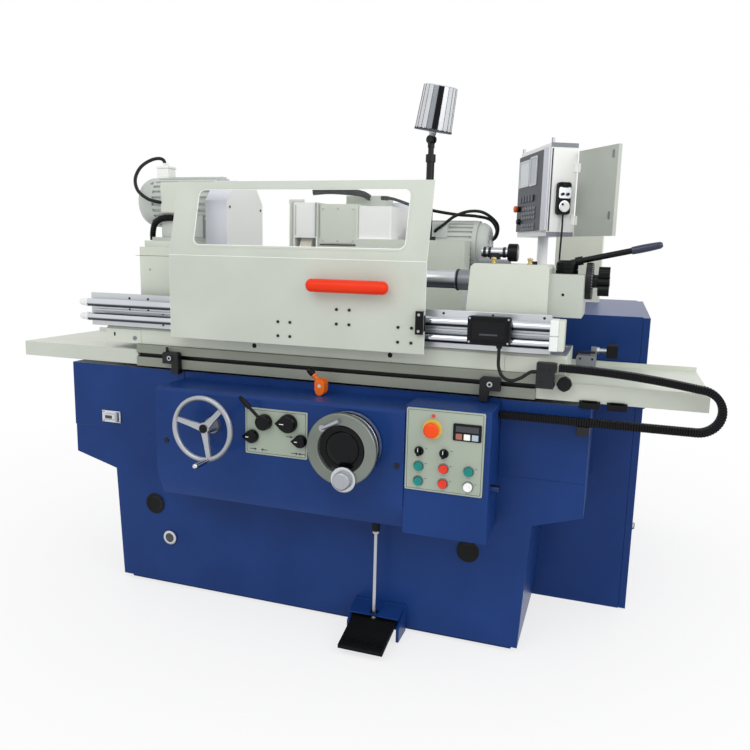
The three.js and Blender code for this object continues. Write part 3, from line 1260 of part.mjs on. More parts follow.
function lampArmSolid() {
  const l = lamp;
  const post = turned('z', [0, 0], [
    [seatGap, 0], [seatGap, l.baseRadius], [l.baseHeight, l.baseRadius], [l.baseHeight, l.postRadius],
    [l.postTop - wheelhead.top, l.postRadius], [l.postTop - wheelhead.top, l.collarRadius],
    [l.collarTop - wheelhead.top, l.collarRadius], [l.collarTop - wheelhead.top, l.armRadius],
    [l.pivotZ - wheelhead.top - l.earRadius, l.armRadius], [l.pivotZ - wheelhead.top - l.earRadius, 0],
  ], sides.small);
  const ears = [-1, 1].map((side) => {
    const span = [side * (l.tongue / 2 + seatGap),
      side * (l.tongue / 2 + seatGap + l.earWidth)].sort((a, b) => a - b);
    const low = l.pivotZ - wheelhead.top - l.earRadius * 2;
    return join(bar('x', span, [0, l.pivotZ - wheelhead.top], l.earRadius, sides.small),
      block(span, [-l.armRadius / 2, l.armRadius / 2], [low, l.pivotZ - wheelhead.top]));
  });
  const pin = bar('x', [-l.tongue, l.tongue], [0, l.pivotZ - wheelhead.top], l.pinRadius, sides.tiny);
  return join(post, ears, pin);
}
const lampArm = part('lamp_arm', lampArmSolid(), finish.black);
lampArm.position.set(lamp.x, lamp.y, wheelhead.top);
lampArm.rotation.z = lamp.yaw * degree;

// The shade is open at its top; the head leans forward on its pivot, which is its origin.
function lampHeadSolid() {
  const l = lamp;
  const base = l.earRadius + l.neck;
  const wallPoints = [];
  const segments = l.ribs * 2;
  for (let i = 0; i < segments; i += 1) {
    const angle = turn * i / segments;
    const reach = l.lowRadius * (i % 2 ? 1 : 1 + l.ribShare);
    wallPoints.push([reach * Math.cos(angle), reach * Math.sin(angle)]);
  }
  const taper = l.topRadius / l.lowRadius;
  const shade = solid(layTaper(wallPoints, base, base + l.length, taper));
  const hollow = bar('z', [base + l.length - l.lensDrop, base + l.length + cutRun], [0, 0],
    l.topRadius - l.wall, sides.round);
  const neck = bar('z', [l.pinRadius * 2, base + runGap], [0, 0], l.neck, sides.small);
  const tongue = bar('x', [-l.tongue / 2, l.tongue / 2], [0, 0], l.earRadius, sides.small);
  const web = block([-l.tongue / 2, l.tongue / 2], [-l.earRadius / 2, l.earRadius / 2], [0, base]);
  const pin = bar('x', [-l.tongue, l.tongue], [0, 0], l.pinRadius + pinGap, sides.tiny);
  const earRoom = [-1, 1].map((side) => bar('x',
    [side * (l.tongue / 2), side * (l.tongue / 2 + l.earWidth + runGap)].sort((a, b) => a - b),
    [0, 0], l.earRadius + runGap * 2, sides.small));
  return cut(join(cut(shade, hollow), cut(neck, earRoom), tongue, web), pin);
}

// A ribbed outline drawn up to a smaller one
function layTaper(points, low, high, taper) {
  const positions = [];
  const count = points.length;
  for (const [z, scale] of [[low, 1], [high, taper]]) {
    for (const [x, y] of points) positions.push(x * scale, y * scale, z);
  }
  positions.push(0, 0, low, 0, 0, high);
  const index = [];
  for (let i = 0; i < count; i += 1) {
    const next = (i + 1) % count;
    index.push(i, next, count + next, i, count + next, count + i);
    index.push(count * 2, next, i, count * 2 + 1, count + i, count + next);
  }
  const geometry = new THREE.BufferGeometry();
  geometry.setAttribute('position', new THREE.BufferAttribute(new Float32Array(positions), 3));
  geometry.setIndex(index);
  return geometry;
}
const lampHead = part('lamp_head', lampHeadSolid(), finish.steel);
lampHead.position.set(lamp.x, lamp.y, lamp.pivotZ);
lampHead.rotation.set(lamp.lean * degree, 0, lamp.yaw * degree, 'ZYX');

// Electrical cabinet beside the wheelhead

const cabinetFront = bed.back + seatGap;
const cabinetRight = cabinet.right - cabinet.doorThick - seatGap;

function cabinetSolid() {
  const c = cabinet;
  const box = block([c.left, cabinetRight], [cabinetFront, c.back], [0, c.height]);
  const room = block([c.left + c.wall, cabinetRight + cutRun], [cabinetFront + c.wall, c.back - c.wall],
    [c.wall, c.height - c.wall]);
  const angle = console.turn * degree;
  const reach = console.width / 2 + seatGap + pendant.thick / 2;
  const glandAt = [
    console.x + reach * Math.cos(angle) - pendant.y * Math.sin(angle),
    console.y + reach * Math.sin(angle) + pendant.y * Math.cos(angle),
  ];
  const gland = bar('z', [c.height - runGap, c.height + pendantCord.glandHeight], glandAt,
    pendantCord.glandRadius, sides.tiny);
  const rise = block([riser.left, riser.right], [riser.front, riser.back], [c.height - runGap, riser.top]);
  return join(cut(box, room), rise, gland);
}
part('cabinet_body', cabinetSolid(), finish.blue);

// A pan-shaped door on the cabinet's right side, hinged at its rear edge
const doorAxisY = cabinet.back - cabinet.hingeRadius;

function cabinetDoorSolid() {
  const c = cabinet;
  const span = [cabinetFront, doorAxisY - c.hingeRadius - seatGap];
  const low = c.doorGap;
  const high = c.height - c.doorGap;
  const pan = block([c.right - c.doorThick, c.right], span, [low, high]);
  const dishOut = block([c.right - c.doorThick - cutRun, c.right - c.doorSheet],
    [span[0] + c.doorSheet, span[1] - c.doorSheet], [low + c.doorSheet, high - c.doorSheet]);
  const knuckle = bar('z', [low, high], [c.right - c.hingeRadius, doorAxisY], c.hingeRadius, sides.tiny);
  const leaf = block([c.right - c.doorSheet, c.right], [span[1] - runGap, doorAxisY], [low, high]);
  return join(cut(pan, dishOut), knuckle, leaf);
}
part('cabinet_door', cabinetDoorSolid(), finish.blue);

// Operator console on its post. Its group turns the screen towards the operator,
// so inside it the screen faces -Y and the post's axis is the origin.
const consoleGroup = new THREE.Group();
consoleGroup.position.set(console.x, console.y, 0);
consoleGroup.rotation.z = console.turn * degree;
machine.add(consoleGroup);

function consolePostSolid() {
  const c = console;
  const low = cabinet.height + seatGap;
  return cut(turned('z', [0, 0], [
    [low, 0], [low, c.flangeRadius], [low + c.flangeHeight, c.flangeRadius],
      [low + c.flangeHeight, c.postRadius],
    [c.postTop, c.postRadius], [c.postTop, 0],
  ], sides.round), bar('z', [c.postTop - c.pinDepth - runGap, c.postTop + cutRun], [0, 0],
    c.pinRadius + pinGap, sides.small));
}
part('console_post', consolePostSolid(), finish.cream, consoleGroup);

function consoleSolid() {
  const c = console;
  const half = c.width / 2;
  const deep = c.depth / 2;
  const box = block([-half, half], [-deep, deep], [c.low, c.high]);
  const room = block([-half + c.wall, half - c.wall], [-deep + c.wall, deep - c.wall],
    [c.low + c.wall, c.high - c.wall]);
  const middle = (c.low + c.high) / 2;
  const doorway = block([half - c.wall - c.openWidth, half - c.wall], [0, deep + cutRun],
    [middle - c.openHeight / 2, middle + c.openHeight / 2]);
  const screen = block([-half + c.screenInset, half - c.screenInset], [-deep - c.frame, -deep + runGap],
    [c.low + c.bandHeight, c.high - c.bandHeight]);
  const neck = turned('z', [0, 0], [
    [c.postTop - c.pinDepth, 0], [c.postTop - c.pinDepth, c.pinRadius], [c.postTop + seatGap, c.pinRadius],
    [c.postTop + seatGap, c.neckRadius], [c.low + runGap, c.neckRadius], [c.low + runGap, 0],
  ], sides.small);
  const eyes = [-1, 1].map((side) => bar('z', [c.high - runGap, c.high + c.eyeHeight],
    [side * (half - c.eyeInset), -deep + c.eyeInset], c.eyeRadius, sides.cord));
  return join(cut(box, room, doorway), screen, neck, consoleKnuckles(), eyes);
}

// Knuckles at the box's rear corner hold the door's pin.
function knuckleSpans(extra) {
  const d = consoleDoor;
  const middles = [d.low + d.knuckleInset, d.low + d.height - d.knuckleInset];
  return middles.map((z) => [z - d.knuckleLength / 2 - extra, z + d.knuckleLength / 2 + extra]);
}

function consoleKnuckles() {
  const d = consoleDoor;
  const corner = [console.width / 2, console.depth / 2];
  const pinAt = [corner[0] + d.offsetX, corner[1] + d.offsetY];
  return knuckleSpans(0).map((span) => {
    const barrel = bar('z', span, pinAt, d.knuckleRadius, sides.small);
    const web = block([corner[0] - runGap, pinAt[0]], [corner[1] - d.webReach, pinAt[1]], span);
    return cut(join(barrel, web), bar('z', [span[0] - cutRun, span[1] + cutRun], pinAt,
      d.pinRadius + pinGap, sides.small));
  });
}
part('console_box', consoleSolid(), finish.cream, consoleGroup);

// The rear door stands open; its hinge pin is the origin of its own group.
const doorGroup = new THREE.Group();
doorGroup.position.set(console.width / 2 + consoleDoor.offsetX, console.depth / 2 + consoleDoor.offsetY, 0);
doorGroup.rotation.z = -consoleDoor.open * degree;
consoleGroup.add(doorGroup);

function consoleDoorSolid() {
  const d = consoleDoor;
  const high = d.low + d.height;
  const inner = -d.offsetY + runGap;
  const pan = block([-d.width, -d.clear], [inner, inner + d.thick], [d.low, high]);
  const dishOut = block([-d.width + d.sheet, -d.clear - d.sheet], [inner - cutRun, inner + d.thick - d.sheet],
    [d.low + d.sheet, high - d.sheet]);
  const pin = bar('z', [d.low, high], [0, 0], d.pinRadius, sides.cord);
  const leaf = block([-d.clear - runGap, 0], [-d.pinRadius / 2, d.pinRadius / 2], [d.low, high]);
  const notches = knuckleSpans(runGap).map((span) => bar('z', span, [0, 0], d.notch, sides.small));
  return join(cut(join(cut(pan, dishOut), leaf), notches), pin);
}
part('console_door', consoleDoorSolid(), finish.cream, doorGroup);

function pendantSolid() {
  const p = pendant;
  const side = console.width / 2 + seatGap;
  const body = slab('x', roundedOutline([p.y - p.width / 2, p.y + p.width / 2],
    [p.z - p.height / 2, p.z + p.height / 2], p.corner), [side, side + p.thick]);
  const dial = bar('x', [side + p.thick - runGap, side + p.thick + p.dialProud], [p.y, p.z - p.dialDrop],
    p.dialRadius, sides.small);
  return join(body, dial);
}
part('pendant', pendantSolid(), finish.black, consoleGroup);

const cordX = console.width / 2 + seatGap + pendant.thick / 2;
const cordPoints = [
  [cordX, 2, 1398.4], [cordX, 2, 1384], [cordX + 4, 1, 1350], [cordX + 9, -2, 1300], [cordX + 11, -4, 1240],
  [cordX + 8, -3, 1180], [cordX + 3, 0, 1130], [cordX, 2, 1090], [cordX, 2, 1066.6],
];
const cordSteps = 22;
part('pendant_cord', tube(cordPoints, pendantCord.diameter / 2, sides.cord, cordSteps), finish.black,
  consoleGroup);

// Cable chain: links that lap over each other's necks, drawn along their route
const bendLift = chain.topZ - chain.sag - chain.lowZ;
const bendRadius = bendLift / 2;
const chainBendZ = chain.lowZ + bendRadius;

// The upper run hangs in a parabola from the clamp down to the bend.
class ChainRoute extends THREE.Curve {
  getPoint(share, target = new THREE.Vector3()) {
    const low = chain.bendX - chain.lowX;
    const arc = Math.PI * bendRadius;
    const high = chain.bendX - chain.topX;
    const along = share * (low + arc + high);
    if (along < low) return target.set(chain.lowX + along, chain.y, chain.lowZ);
    if (along < low + arc) {
      const angle = (along - low) / bendRadius - quarter;
      return target.set(chain.bendX + bendRadius * Math.cos(angle), chain.y,
        chainBendZ + bendRadius * Math.sin(angle));
    }
    const left = (low + arc + high - along) / high;
    return target.set(chain.topX + high * left, chain.y, chain.topZ - chain.sag * left ** 2);
  }
}

function alignedBlock(from, to, height, width) {
  const reach = new THREE.Vector3().subVectors(to, from);
  const geometry = new THREE.BoxGeometry(reach.length(), width, height);
  geometry.rotateY(-Math.atan2(reach.z, reach.x));
  const middle = new THREE.Vector3().addVectors(from, to).multiplyScalar(0.5);
  return solid(geometry.translate(middle.x, middle.y, middle.z));
}

function chainSolid() {
  const c = chain;
  const joints = new ChainRoute().getSpacedPoints(c.links);
  const pieces = [];
  for (let i = 0; i < c.links; i += 1) {
    const from = joints[i];
    const to = joints[i + 1];
    const spare = (1 - c.linkShare) / 2;
    const start = new THREE.Vector3().lerpVectors(from, to, spare);
    const end = new THREE.Vector3().lerpVectors(from, to, 1 - spare);
    pieces.push(alignedBlock(start, end, c.height, c.width), alignedBlock(from, to, c.neck, c.neckWidth));
  }
  return join(pieces);
}
part('cable_chain', chainSolid(), finish.black);

export default machine;
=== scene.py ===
# A cylindrical grinding machine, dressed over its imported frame. Lengths are metres.
import math

import bmesh
import bpy
from mathutils import Matrix, Vector


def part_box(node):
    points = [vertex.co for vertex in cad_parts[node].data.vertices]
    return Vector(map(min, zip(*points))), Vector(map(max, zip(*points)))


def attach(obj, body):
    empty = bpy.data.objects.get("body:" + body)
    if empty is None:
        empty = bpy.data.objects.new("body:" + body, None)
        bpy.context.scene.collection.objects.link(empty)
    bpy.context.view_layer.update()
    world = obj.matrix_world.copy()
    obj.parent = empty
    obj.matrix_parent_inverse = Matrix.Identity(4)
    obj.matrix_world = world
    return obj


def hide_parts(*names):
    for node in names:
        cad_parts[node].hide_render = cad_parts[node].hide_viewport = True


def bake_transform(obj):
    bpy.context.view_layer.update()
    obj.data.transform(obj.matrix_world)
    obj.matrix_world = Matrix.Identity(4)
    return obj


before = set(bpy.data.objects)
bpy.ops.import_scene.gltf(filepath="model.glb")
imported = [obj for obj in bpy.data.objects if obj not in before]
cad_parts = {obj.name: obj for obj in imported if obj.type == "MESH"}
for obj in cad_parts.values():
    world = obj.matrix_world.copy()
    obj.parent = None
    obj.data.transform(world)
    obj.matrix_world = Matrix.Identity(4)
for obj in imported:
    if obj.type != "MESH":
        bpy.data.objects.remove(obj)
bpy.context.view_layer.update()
scene = bpy.context.scene
scene.view_settings.view_transform = "Standard"
mm = 0.001
turn = math.tau


# Camera comes first

cameraSetup = {
    "place": (0.9487, -2.3743, 1.2451), "right": (0.94683, 0.32079, 0.02446),
    "up": (-0.0774, 0.15334, 0.98513), "back": (0.31228, -0.93465, 0.17002), "lens": 34.51,
}


def addCamera(setup):
    data = bpy.data.cameras.new("camera")
    data.lens = setup["lens"]
    data.sensor_width = 36
    data.clip_end = 50
    camera = bpy.data.objects.new("camera", data)
    scene.collection.objects.link(camera)
    columns = (setup["right"], setup["up"], setup["back"])
    camera.matrix_world = Matrix.Translation(setup["place"]) @ Matrix(columns).transposed().to_4x4()
    scene.camera = camera


addCamera(cameraSetup)
print("camera placed")


# Nodes and finishes

def linear(code):
    # sRGB hex to the linear colour that Blender works in
    parts = [int(code[i:i + 2], 16) / 255 for i in (1, 3, 5)]
    return tuple(c / 12.92 if c <= 0.04045 else ((c + 0.055) / 1.055) ** 2.4 for c in parts) + (1.0,)


def node(tree, kind, settings=None, values=None, links=None):
    # links lead from a socket, or from the first output of a node
    made = tree.nodes.new(kind)
    for name, value in (settings or {}).items():
        setattr(made, name, value)
    for name, value in (values or {}).items():
        made.inputs[name].default_value = value
    for name, source in (links or {}).items():
        first = source.outputs[0] if isinstance(source, bpy.types.Node) else source
        tree.links.new(first, made.inputs[name])
    return made


def newMaterial(name):
    material = bpy.data.materials.new(name)
    material.use_nodes = True
    tree = material.node_tree
    return material, tree, tree.nodes["Principled BSDF"]


def surface(name, look):
    # One finish: a slow drift of colour, a fine grain in roughness and height
    material, tree, shader = newMaterial(name)
    coords = node(tree, "ShaderNodeTexCoord")
    stretched = node(tree, "ShaderNodeMapping", values={"Scale": look.get("stretch", (1, 1, 1))},
        links={"Vector": coords.outputs["Object"]})
    drift = node(tree, "ShaderNodeTexNoise", values={"Scale": 1 / look.get("drift", 0.25), "Detail": 3},
        links={"Vector": coords.outputs["Object"]})
    grain = node(tree, "ShaderNodeTexNoise", values={"Scale": 1 / look.get("grain", 0.003), "Detail": 4},
        links={"Vector": stretched})
    blend = node(tree, "ShaderNodeMapRange", values={"From Min": 0.3, "From Max": 0.7},
        links={"Value": drift})
    colour = node(tree, "ShaderNodeMix", {"data_type": "RGBA"}, links={0: blend})
    colour.inputs[6].default_value = linear(look["low"])
    colour.inputs[7].default_value = linear(look["high"])
    rough = node(tree, "ShaderNodeMapRange",
        values={"From Min": 0.3, "From Max": 0.7, "To Min": look["smooth"], "To Max": look["rough"]},
        links={"Value": grain})
    bump = node(tree, "ShaderNodeBump", values={"Strength": look["bump"], "Distance": 0.0004},
        links={"Height": grain})
    tone = colour
    if "below" in look:
        # painted reflection: polished and ground faces that look down are darkened in the base colour,
        # standing in for the dark shop floor they would mirror
        shape = node(tree, "ShaderNodeNewGeometry")
        parts = node(tree, "ShaderNodeSeparateXYZ", links={0: shape.outputs["Normal"]})
        paintedReflectionMask = node(tree, "ShaderNodeMapRange", values={"From Min": -0.08, "From Max": -0.42},
            links={"Value": parts.outputs["Z"]})
        tone = node(tree, "ShaderNodeMix", {"data_type": "RGBA"}, links={0: paintedReflectionMask, 6: colour.outputs[2]})
        tone.inputs[7].default_value = linear(look["below"])
    tree.links.new(tone.outputs[2], shader.inputs["Base Color"])
    tree.links.new(rough.outputs["Result"], shader.inputs["Roughness"])
    tree.links.new(bump.outputs["Normal"], shader.inputs["Normal"])
    shader.inputs["Metallic"].default_value = look.get("metal", 0)
    shader.inputs["IOR"].default_value = look.get("ior", 1.5)
    shader.inputs["Coat Weight"].default_value = look.get("coat", 0)
    shader.inputs["Coat Roughness"].default_value = 0.12
    material.diffuse_color = linear(look["high"])
    return material


def tone(low, high, smooth, rough, bump, **more):
    # The two colours it drifts between, its least and most roughness, its relief
    return {"low": low, "high": high, "smooth": smooth, "rough": rough, "bump": bump, **more}


finishes = {
    # sprayed two-part enamel over filled castings: orange peel of about 3 mm under a clear gloss
    "blueEnamel": tone("#12326b", "#193b79", 0.26, 0.38, 0.22, ior=1.26),
    "creamEnamel": tone("#c9cec2", "#d2d7cb", 0.34, 0.46, 0.18),
    "guardEnamel": tone("#bcc2b7", "#c5cbc0", 0.34, 0.46, 0.18),
    "tableEnamel": tone("#7f8478", "#8f9488", 0.36, 0.48, 0.2),
    "shadeEnamel": tone("#b4bab0", "#c0c6bc", 0.38, 0.5, 0.2),
    "lilacEnamel": tone("#d3d4df", "#dcdde6", 0.4, 0.5, 0.2),
    "greyEnamel": tone("#8b9198", "#9aa0a6", 0.3, 0.42, 0.25, coat=0.15),
    "wheelGrey": tone("#9ea2a8", "#aeb2b7", 0.26, 0.38, 0.12, metal=0.55, below="#5b6068"),
    "motorPaint": tone("#b9bfb9", "#c8cdc8", 0.4, 0.55, 0.3),
    # ground and turned steels show fine lines along their cut
    "groundSteel": tone("#a9adb3", "#bfc3c8", 0.2, 0.36, 0.1, metal=1, grain=0.0008, stretch=(0.05, 1, 1),
        below="#55585e"),
    "dullRing": tone("#6f756f", "#838982", 0.3, 0.42, 0.12, metal=0.7, below="#6a6f6c"),
    "castSteel": tone("#80848a", "#969aa0", 0.35, 0.5, 0.3, metal=0.9, grain=0.002),
    "hardChrome": tone("#c9ccd2", "#d6d9de", 0.1, 0.16, 0.02, metal=1, below="#3c4046"),
    "satinAluminium": tone("#c3c7cb", "#d3d7da", 0.28, 0.4, 0.08, metal=0.9, grain=0.0008,
        stretch=(0.04, 1, 1), below="#5a5e65"),
    "shadeSilver": tone("#cdcfd3", "#dbdde0", 0.22, 0.32, 0.05, metal=0.35),
    "oiledBrass": tone("#bba566", "#cdb87c", 0.25, 0.4, 0.1, metal=1),
    "blackOxide": tone("#131416", "#1b1c1f", 0.35, 0.5, 0.2, metal=0.4),
    # moulded phenolic and ABS: hard gloss, faint flow marks
    "blackPhenolic": tone("#07080a", "#0d0e11", 0.14, 0.22, 0.05, ior=1.26),
    "blackNylon": tone("#0e0f11", "#151619", 0.42, 0.55, 0.15, ior=1.26),
    "navyGrip": tone("#161d3a", "#1d2648", 0.25, 0.35, 0.1, coat=0.2),
    "handleOrange": tone("#de2c06", "#ea360a", 0.3, 0.38, 0.08, ior=1.3),
    "leverOrange": tone("#dd5c0a", "#e86a10", 0.3, 0.4, 0.1, ior=1.35),
    "stopOrange": tone("#e8440a", "#f2520e", 0.25, 0.35, 0.05, ior=1.35),
    "signalRed": tone("#d8341e", "#e23f26", 0.25, 0.35, 0.05, ior=1.35),
    "signalGreen": tone("#0f7a72", "#178a80", 0.25, 0.35, 0.05, ior=1.35),
    "warningYellow": tone("#d8b23a", "#e6c14a", 0.35, 0.45, 0.05),
    "whiteAbs": tone("#eff0ed", "#f6f7f4", 0.3, 0.42, 0.05),
    "milkyNylon": tone("#dfe3e2", "#ebeeed", 0.3, 0.4, 0.05),
    "platePrint": tone("#9aa596", "#a5b0a1", 0.3, 0.42, 0.04),
    "screenGlass": tone("#1a1f26", "#222831", 0.06, 0.12, 0.01, coat=0.6),
    "screenGlow": tone("#8d979d", "#9ba6ab", 0.1, 0.16, 0.01, coat=0.6),
    "keyGrey": tone("#7a7e85", "#888c93", 0.4, 0.5, 0.1),
    "navyKey": tone("#2b3246", "#353d54", 0.35, 0.45, 0.05),
    "brickKey": tone("#9c5a4c", "#a96758", 0.35, 0.45, 0.05),
    "paleBlueKey": tone("#9fb4c4", "#adc1d0", 0.35, 0.45, 0.05),
    "paleScreen": tone("#b9c3c6", "#c6cfd2", 0.1, 0.16, 0.01, coat=0.6),
    "darkPanel": tone("#2e323c", "#3b3f4a", 0.4, 0.5, 0.1),
    "ribbedRubber": tone("#070809", "#0d0e0f", 0.6, 0.75, 0.5, ior=1.25),
    "cordRubber": tone("#0b0c0e", "#131416", 0.4, 0.52, 0.15, ior=1.35),
    "bondedStone": tone("#cfcabb", "#e2ddcf", 0.85, 0.95, 0.8, grain=0.0015),
    "beigeColumn": tone("#dadccb", "#e4e6d6", 0.4, 0.5, 0.2),
}
paint = {name: surface(name, look) for name, look in finishes.items()}


def clearPane(name, tint):
    # clear polycarbonate sheet: nearly invisible but for its gloss
    material, tree, shader = newMaterial(name)
    coords = node(tree, "ShaderNodeTexCoord")
    haze = node(tree, "ShaderNodeTexNoise", values={"Scale": 8, "Detail": 2},
        links={"Vector": coords.outputs["Object"]})
    rough = node(tree, "ShaderNodeMapRange", values={"To Min": 0.02, "To Max": 0.06}, links={"Value": haze})
    tree.links.new(rough.outputs["Result"], shader.inputs["Roughness"])
    shader.inputs["Base Color"].default_value = linear(tint)
    shader.inputs["Alpha"].default_value = 0.03
    shader.inputs["IOR"].default_value = 1.58
    return material


paint["clearPane"] = clearPane("clearPane", "#eef3f2")
print("finishes made:", len(paint))


# Shapes. Each of these returns a bmesh that a Form takes in with its finish.

def softened(shape, width, segments=2, angle=30):
    if width:
        edges = [e for e in shape.edges if e.is_manifold and e.calc_face_angle(0) > math.radians(angle)]
        bmesh.ops.bevel(shape, geom=edges, offset=width, segments=segments, profile=0.5, affect="EDGES",
            clamp_overlap=True, material=-1)
    return shape


def block(low, high, bevel=0.0012, segments=2):
    shape = bmesh.new()
    low, high = Vector(low), Vector(high)
    centre = (low + high) / 2
    size = high - low
    bmesh.ops.create_cube(shape, size=1, matrix=Matrix.Translation(centre) @ Matrix.Diagonal((*size, 1)))
    return softened(shape, min(bevel, min(size) / 3), segments)


axes = {"x": Vector((1, 0, 0)), "y": Vector((0, 1, 0)), "z": Vector((0, 0, 1))}


def frameOf(direction):
    # An axis by its letter, and the other two in their order
    side, other = (axis for letter, axis in axes.items() if letter != direction)
    return axes[direction], side, other


def turned(direction, centre, profile, steps=40):
    # profile: [place along the axis, radius]; both ends lie on the axis or the profile is closed
    along, side, other = frameOf(direction)
    shape = bmesh.new()
    rings = []
    for reach, radius in profile:
        middle = Vector(centre) + along * reach
        if radius <= 1e-7:
            rings.append([shape.verts.new(middle)])
            continue
        rings.append([shape.verts.new(middle + (
            side * math.cos(turn * i / steps) + other * math.sin(turn * i / steps)) * radius)
            for i in range(steps)])
    pairs = list(zip(rings, rings[1:]))
    if len(rings[0]) > 1 and len(rings[-1]) > 1:
        pairs.append((rings[-1], rings[0]))
    for first, second in pairs:
        for i in range(steps):
            around = [first[i % len(first)], first[(i + 1) % len(first)], second[(i + 1) % len(second)],
                second[i % len(second)]]
            unique = list(dict.fromkeys(around))
            if len(unique) > 2:
                shape.faces.new(unique)
    return shape


def rounded(profile, radius, steps=3):
    # Rounds the inner corners of a turned profile or outline
    out = [profile[0]]
    for before, corner, after in zip(profile, profile[1:], profile[2:]):
        a, b, c = Vector(before), Vector(corner), Vector(after)
        cut = min(radius, (a - b).length * 0.45, (c - b).length * 0.45)
        start, end = b + (a - b).normalized() * cut, b + (c - b).normalized() * cut
        for i in range(steps + 1):
            t = i / steps
            out.append(tuple(start * (1 - t) ** 2 + b * 2 * t * (1 - t) + end * t ** 2))
    return out + [profile[-1]]


def lathed(direction, centre, profile, soft=0.001, steps=2, sides=48):
    return turned(direction, centre, rounded(profile, soft, steps), sides)


def rod(direction, centre, span, radius, bevel=0.001, steps=32):
    soft = min(bevel, radius * 0.4, (span[1] - span[0]) * 0.3)
    profile = [(span[0], 0), (span[0], radius), (span[1], radius), (span[1], 0)]
    return lathed(direction, centre, profile, soft, 2, steps)


def prism(direction, outline, span, bevel=0.0012, segments=2):
    # outline: pairs drawn in (y, z), (x, z) or (x, y)
    along, side, other = frameOf(direction)
    shape = bmesh.new()
    ends = []
    for reach in span:
        ends.append([shape.verts.new(along * reach + side * u + other * v) for u, v in outline])
    for end in ends:
        shape.faces.new(end)
    for i in range(len(outline)):
        j = (i + 1) % len(outline)
        shape.faces.new((ends[0][i], ends[0][j], ends[1][j], ends[1][i]))
    return softened(shape, bevel, segments)


def roundedBox(span, rise, radius, steps=6):
    # An upright rectangle with round corners, as outline points
    points = []
    for u, v, start in ((span[1], rise[0], -90), (span[1], rise[1], 0), (span[0], rise[1], 90),
            (span[0], rise[0], 180)):
        middle = (u - math.copysign(radius, u - sum(span) / 2), v - math.copysign(radius, v - sum(rise) / 2))
        for i in range(steps + 1):
            angle = math.radians(start + 90 * i / steps)
            points.append((middle[0] + radius * math.cos(angle), middle[1] + radius * math.sin(angle)))
    return points


def metres(points):
    # Points that are written in millimetres
    return [tuple(c * mm for c in p) for p in points]


def smoothPath(points, steps=8):
    # Catmull-Rom through the points
    points = [Vector(p) for p in points]
    ends = [points[0] * 2 - points[1]] + points + [points[-1] * 2 - points[-2]]
    path = []
    for a, b, c, d in zip(ends, ends[1:], ends[2:], ends[3:]):
        for i in range(steps):
            t = i / steps
            path.append(0.5 * (b * 2 + (c - a) * t + (a * 2 - b * 5 + c * 4 - d) * t * t + (
                b * 3 - a - c * 3 + d) * t ** 3))
    return path + [points[-1]]


def pipe(points, radius, sides=14, steps=8):
    # radius may be a number or a function of the share of the length
    path = smoothPath(points, steps) if steps else [Vector(p) for p in points]
    shape = bmesh.new()
    rings = []
    side = None
    for i, place in enumerate(path):
        ahead = (path[min(i + 1, len(path) - 1)] - path[max(i - 1, 0)]).normalized()
        side = ahead.orthogonal().normalized() if side is None else (
            side - ahead * side.dot(ahead)).normalized()
        other = ahead.cross(side)
        reach = radius(i / (len(path) - 1)) if callable(radius) else radius
        rings.append([shape.verts.new(place + (
            side * math.cos(turn * k / sides) + other * math.sin(turn * k / sides)) * reach)
            for k in range(sides)])
    for first, second in zip(rings, rings[1:]):
        for k in range(sides):
            shape.faces.new((first[k], first[(k + 1) % sides], second[(k + 1) % sides], second[k]))
    shape.faces.new(rings[0])
    shape.faces.new(rings[-1])
    return shape


def ringOf(direction, centre, radius, thick, steps=64, sides=20):
    # A torus
    profile = [(thick * math.sin(turn * i / sides), radius + thick * math.cos(turn * i / sides))
        for i in range(sides)]
    return turned(direction, centre, profile, steps)


def moved(shape, matrix):
    bmesh.ops.transform(shape, matrix=matrix, verts=shape.verts)
    return shape


def spun(shape, direction, degrees):
    return moved(shape, Matrix.Rotation(math.radians(degrees), 4, axes[direction]))


def meshOf(name, shape):
    mesh = bpy.data.meshes.new(name)
    shape.to_mesh(mesh)
    shape.free()
    return mesh


def placed(name, data):
    made = bpy.data.objects.new(name, data)
    scene.collection.objects.link(made)
    return made


def spread(direction, centre, radius, count):
    # Places round a circle, and the way out from its middle at each
    _, side, other = frameOf(direction)
    ways = [side * math.cos(turn * i / count) + other * math.sin(turn * i / count) for i in range(count)]
    return [Vector(centre) + way * radius for way in ways], ways


def lobed(centre, radius, waves, steps):
    # A wavy round outline; each wave is (how many lobes, how deep, turned by)
    points = []
    for i in range(steps):
        angle = turn * i / steps
        reach = radius + sum(deep * math.cos(many * angle - shift) for many, deep, shift in waves)
        points.append((centre[0] + reach * math.cos(angle), centre[1] + reach * math.sin(angle)))
    return points


def corners(across, rise, inset):
    # The four places that lie an inset inside a rectangle's corners
    return [(u, v) for u in (across[0] + inset, across[1] - inset)
        for v in (rise[0] + inset, rise[1] - inset)]


class Form:
    # A piece on one body, built up from shapes. Most of them have its finish, and all are drawn in its frame.
    def __init__(self, name, body, replaces=(), finish=None, there=None):
        self.name, self.body, self.replaces, self.finish, self.there = name, body, replaces, finish, there
        self.whole = bmesh.new()
        self.slots = []

    def add(self, shape, finish=None, turnNormals=True):
        finish = finish or self.finish
        if self.there is not None:
            moved(shape, self.there)
        if finish not in self.slots:
            self.slots.append(finish)
        if turnNormals:
            bmesh.ops.recalc_face_normals(shape, faces=shape.faces)
        for face in shape.faces:
            face.material_index = self.slots.index(finish)
        mesh = meshOf("part", shape)
        self.whole.from_mesh(mesh)
        bpy.data.meshes.remove(mesh)
        return self

    def done(self, angle=42):
        mesh = meshOf(self.name, self.whole)
        for slot in self.slots:
            mesh.materials.append(paint[slot])
        return settle(self.name, mesh, self.body, self.replaces, angle)


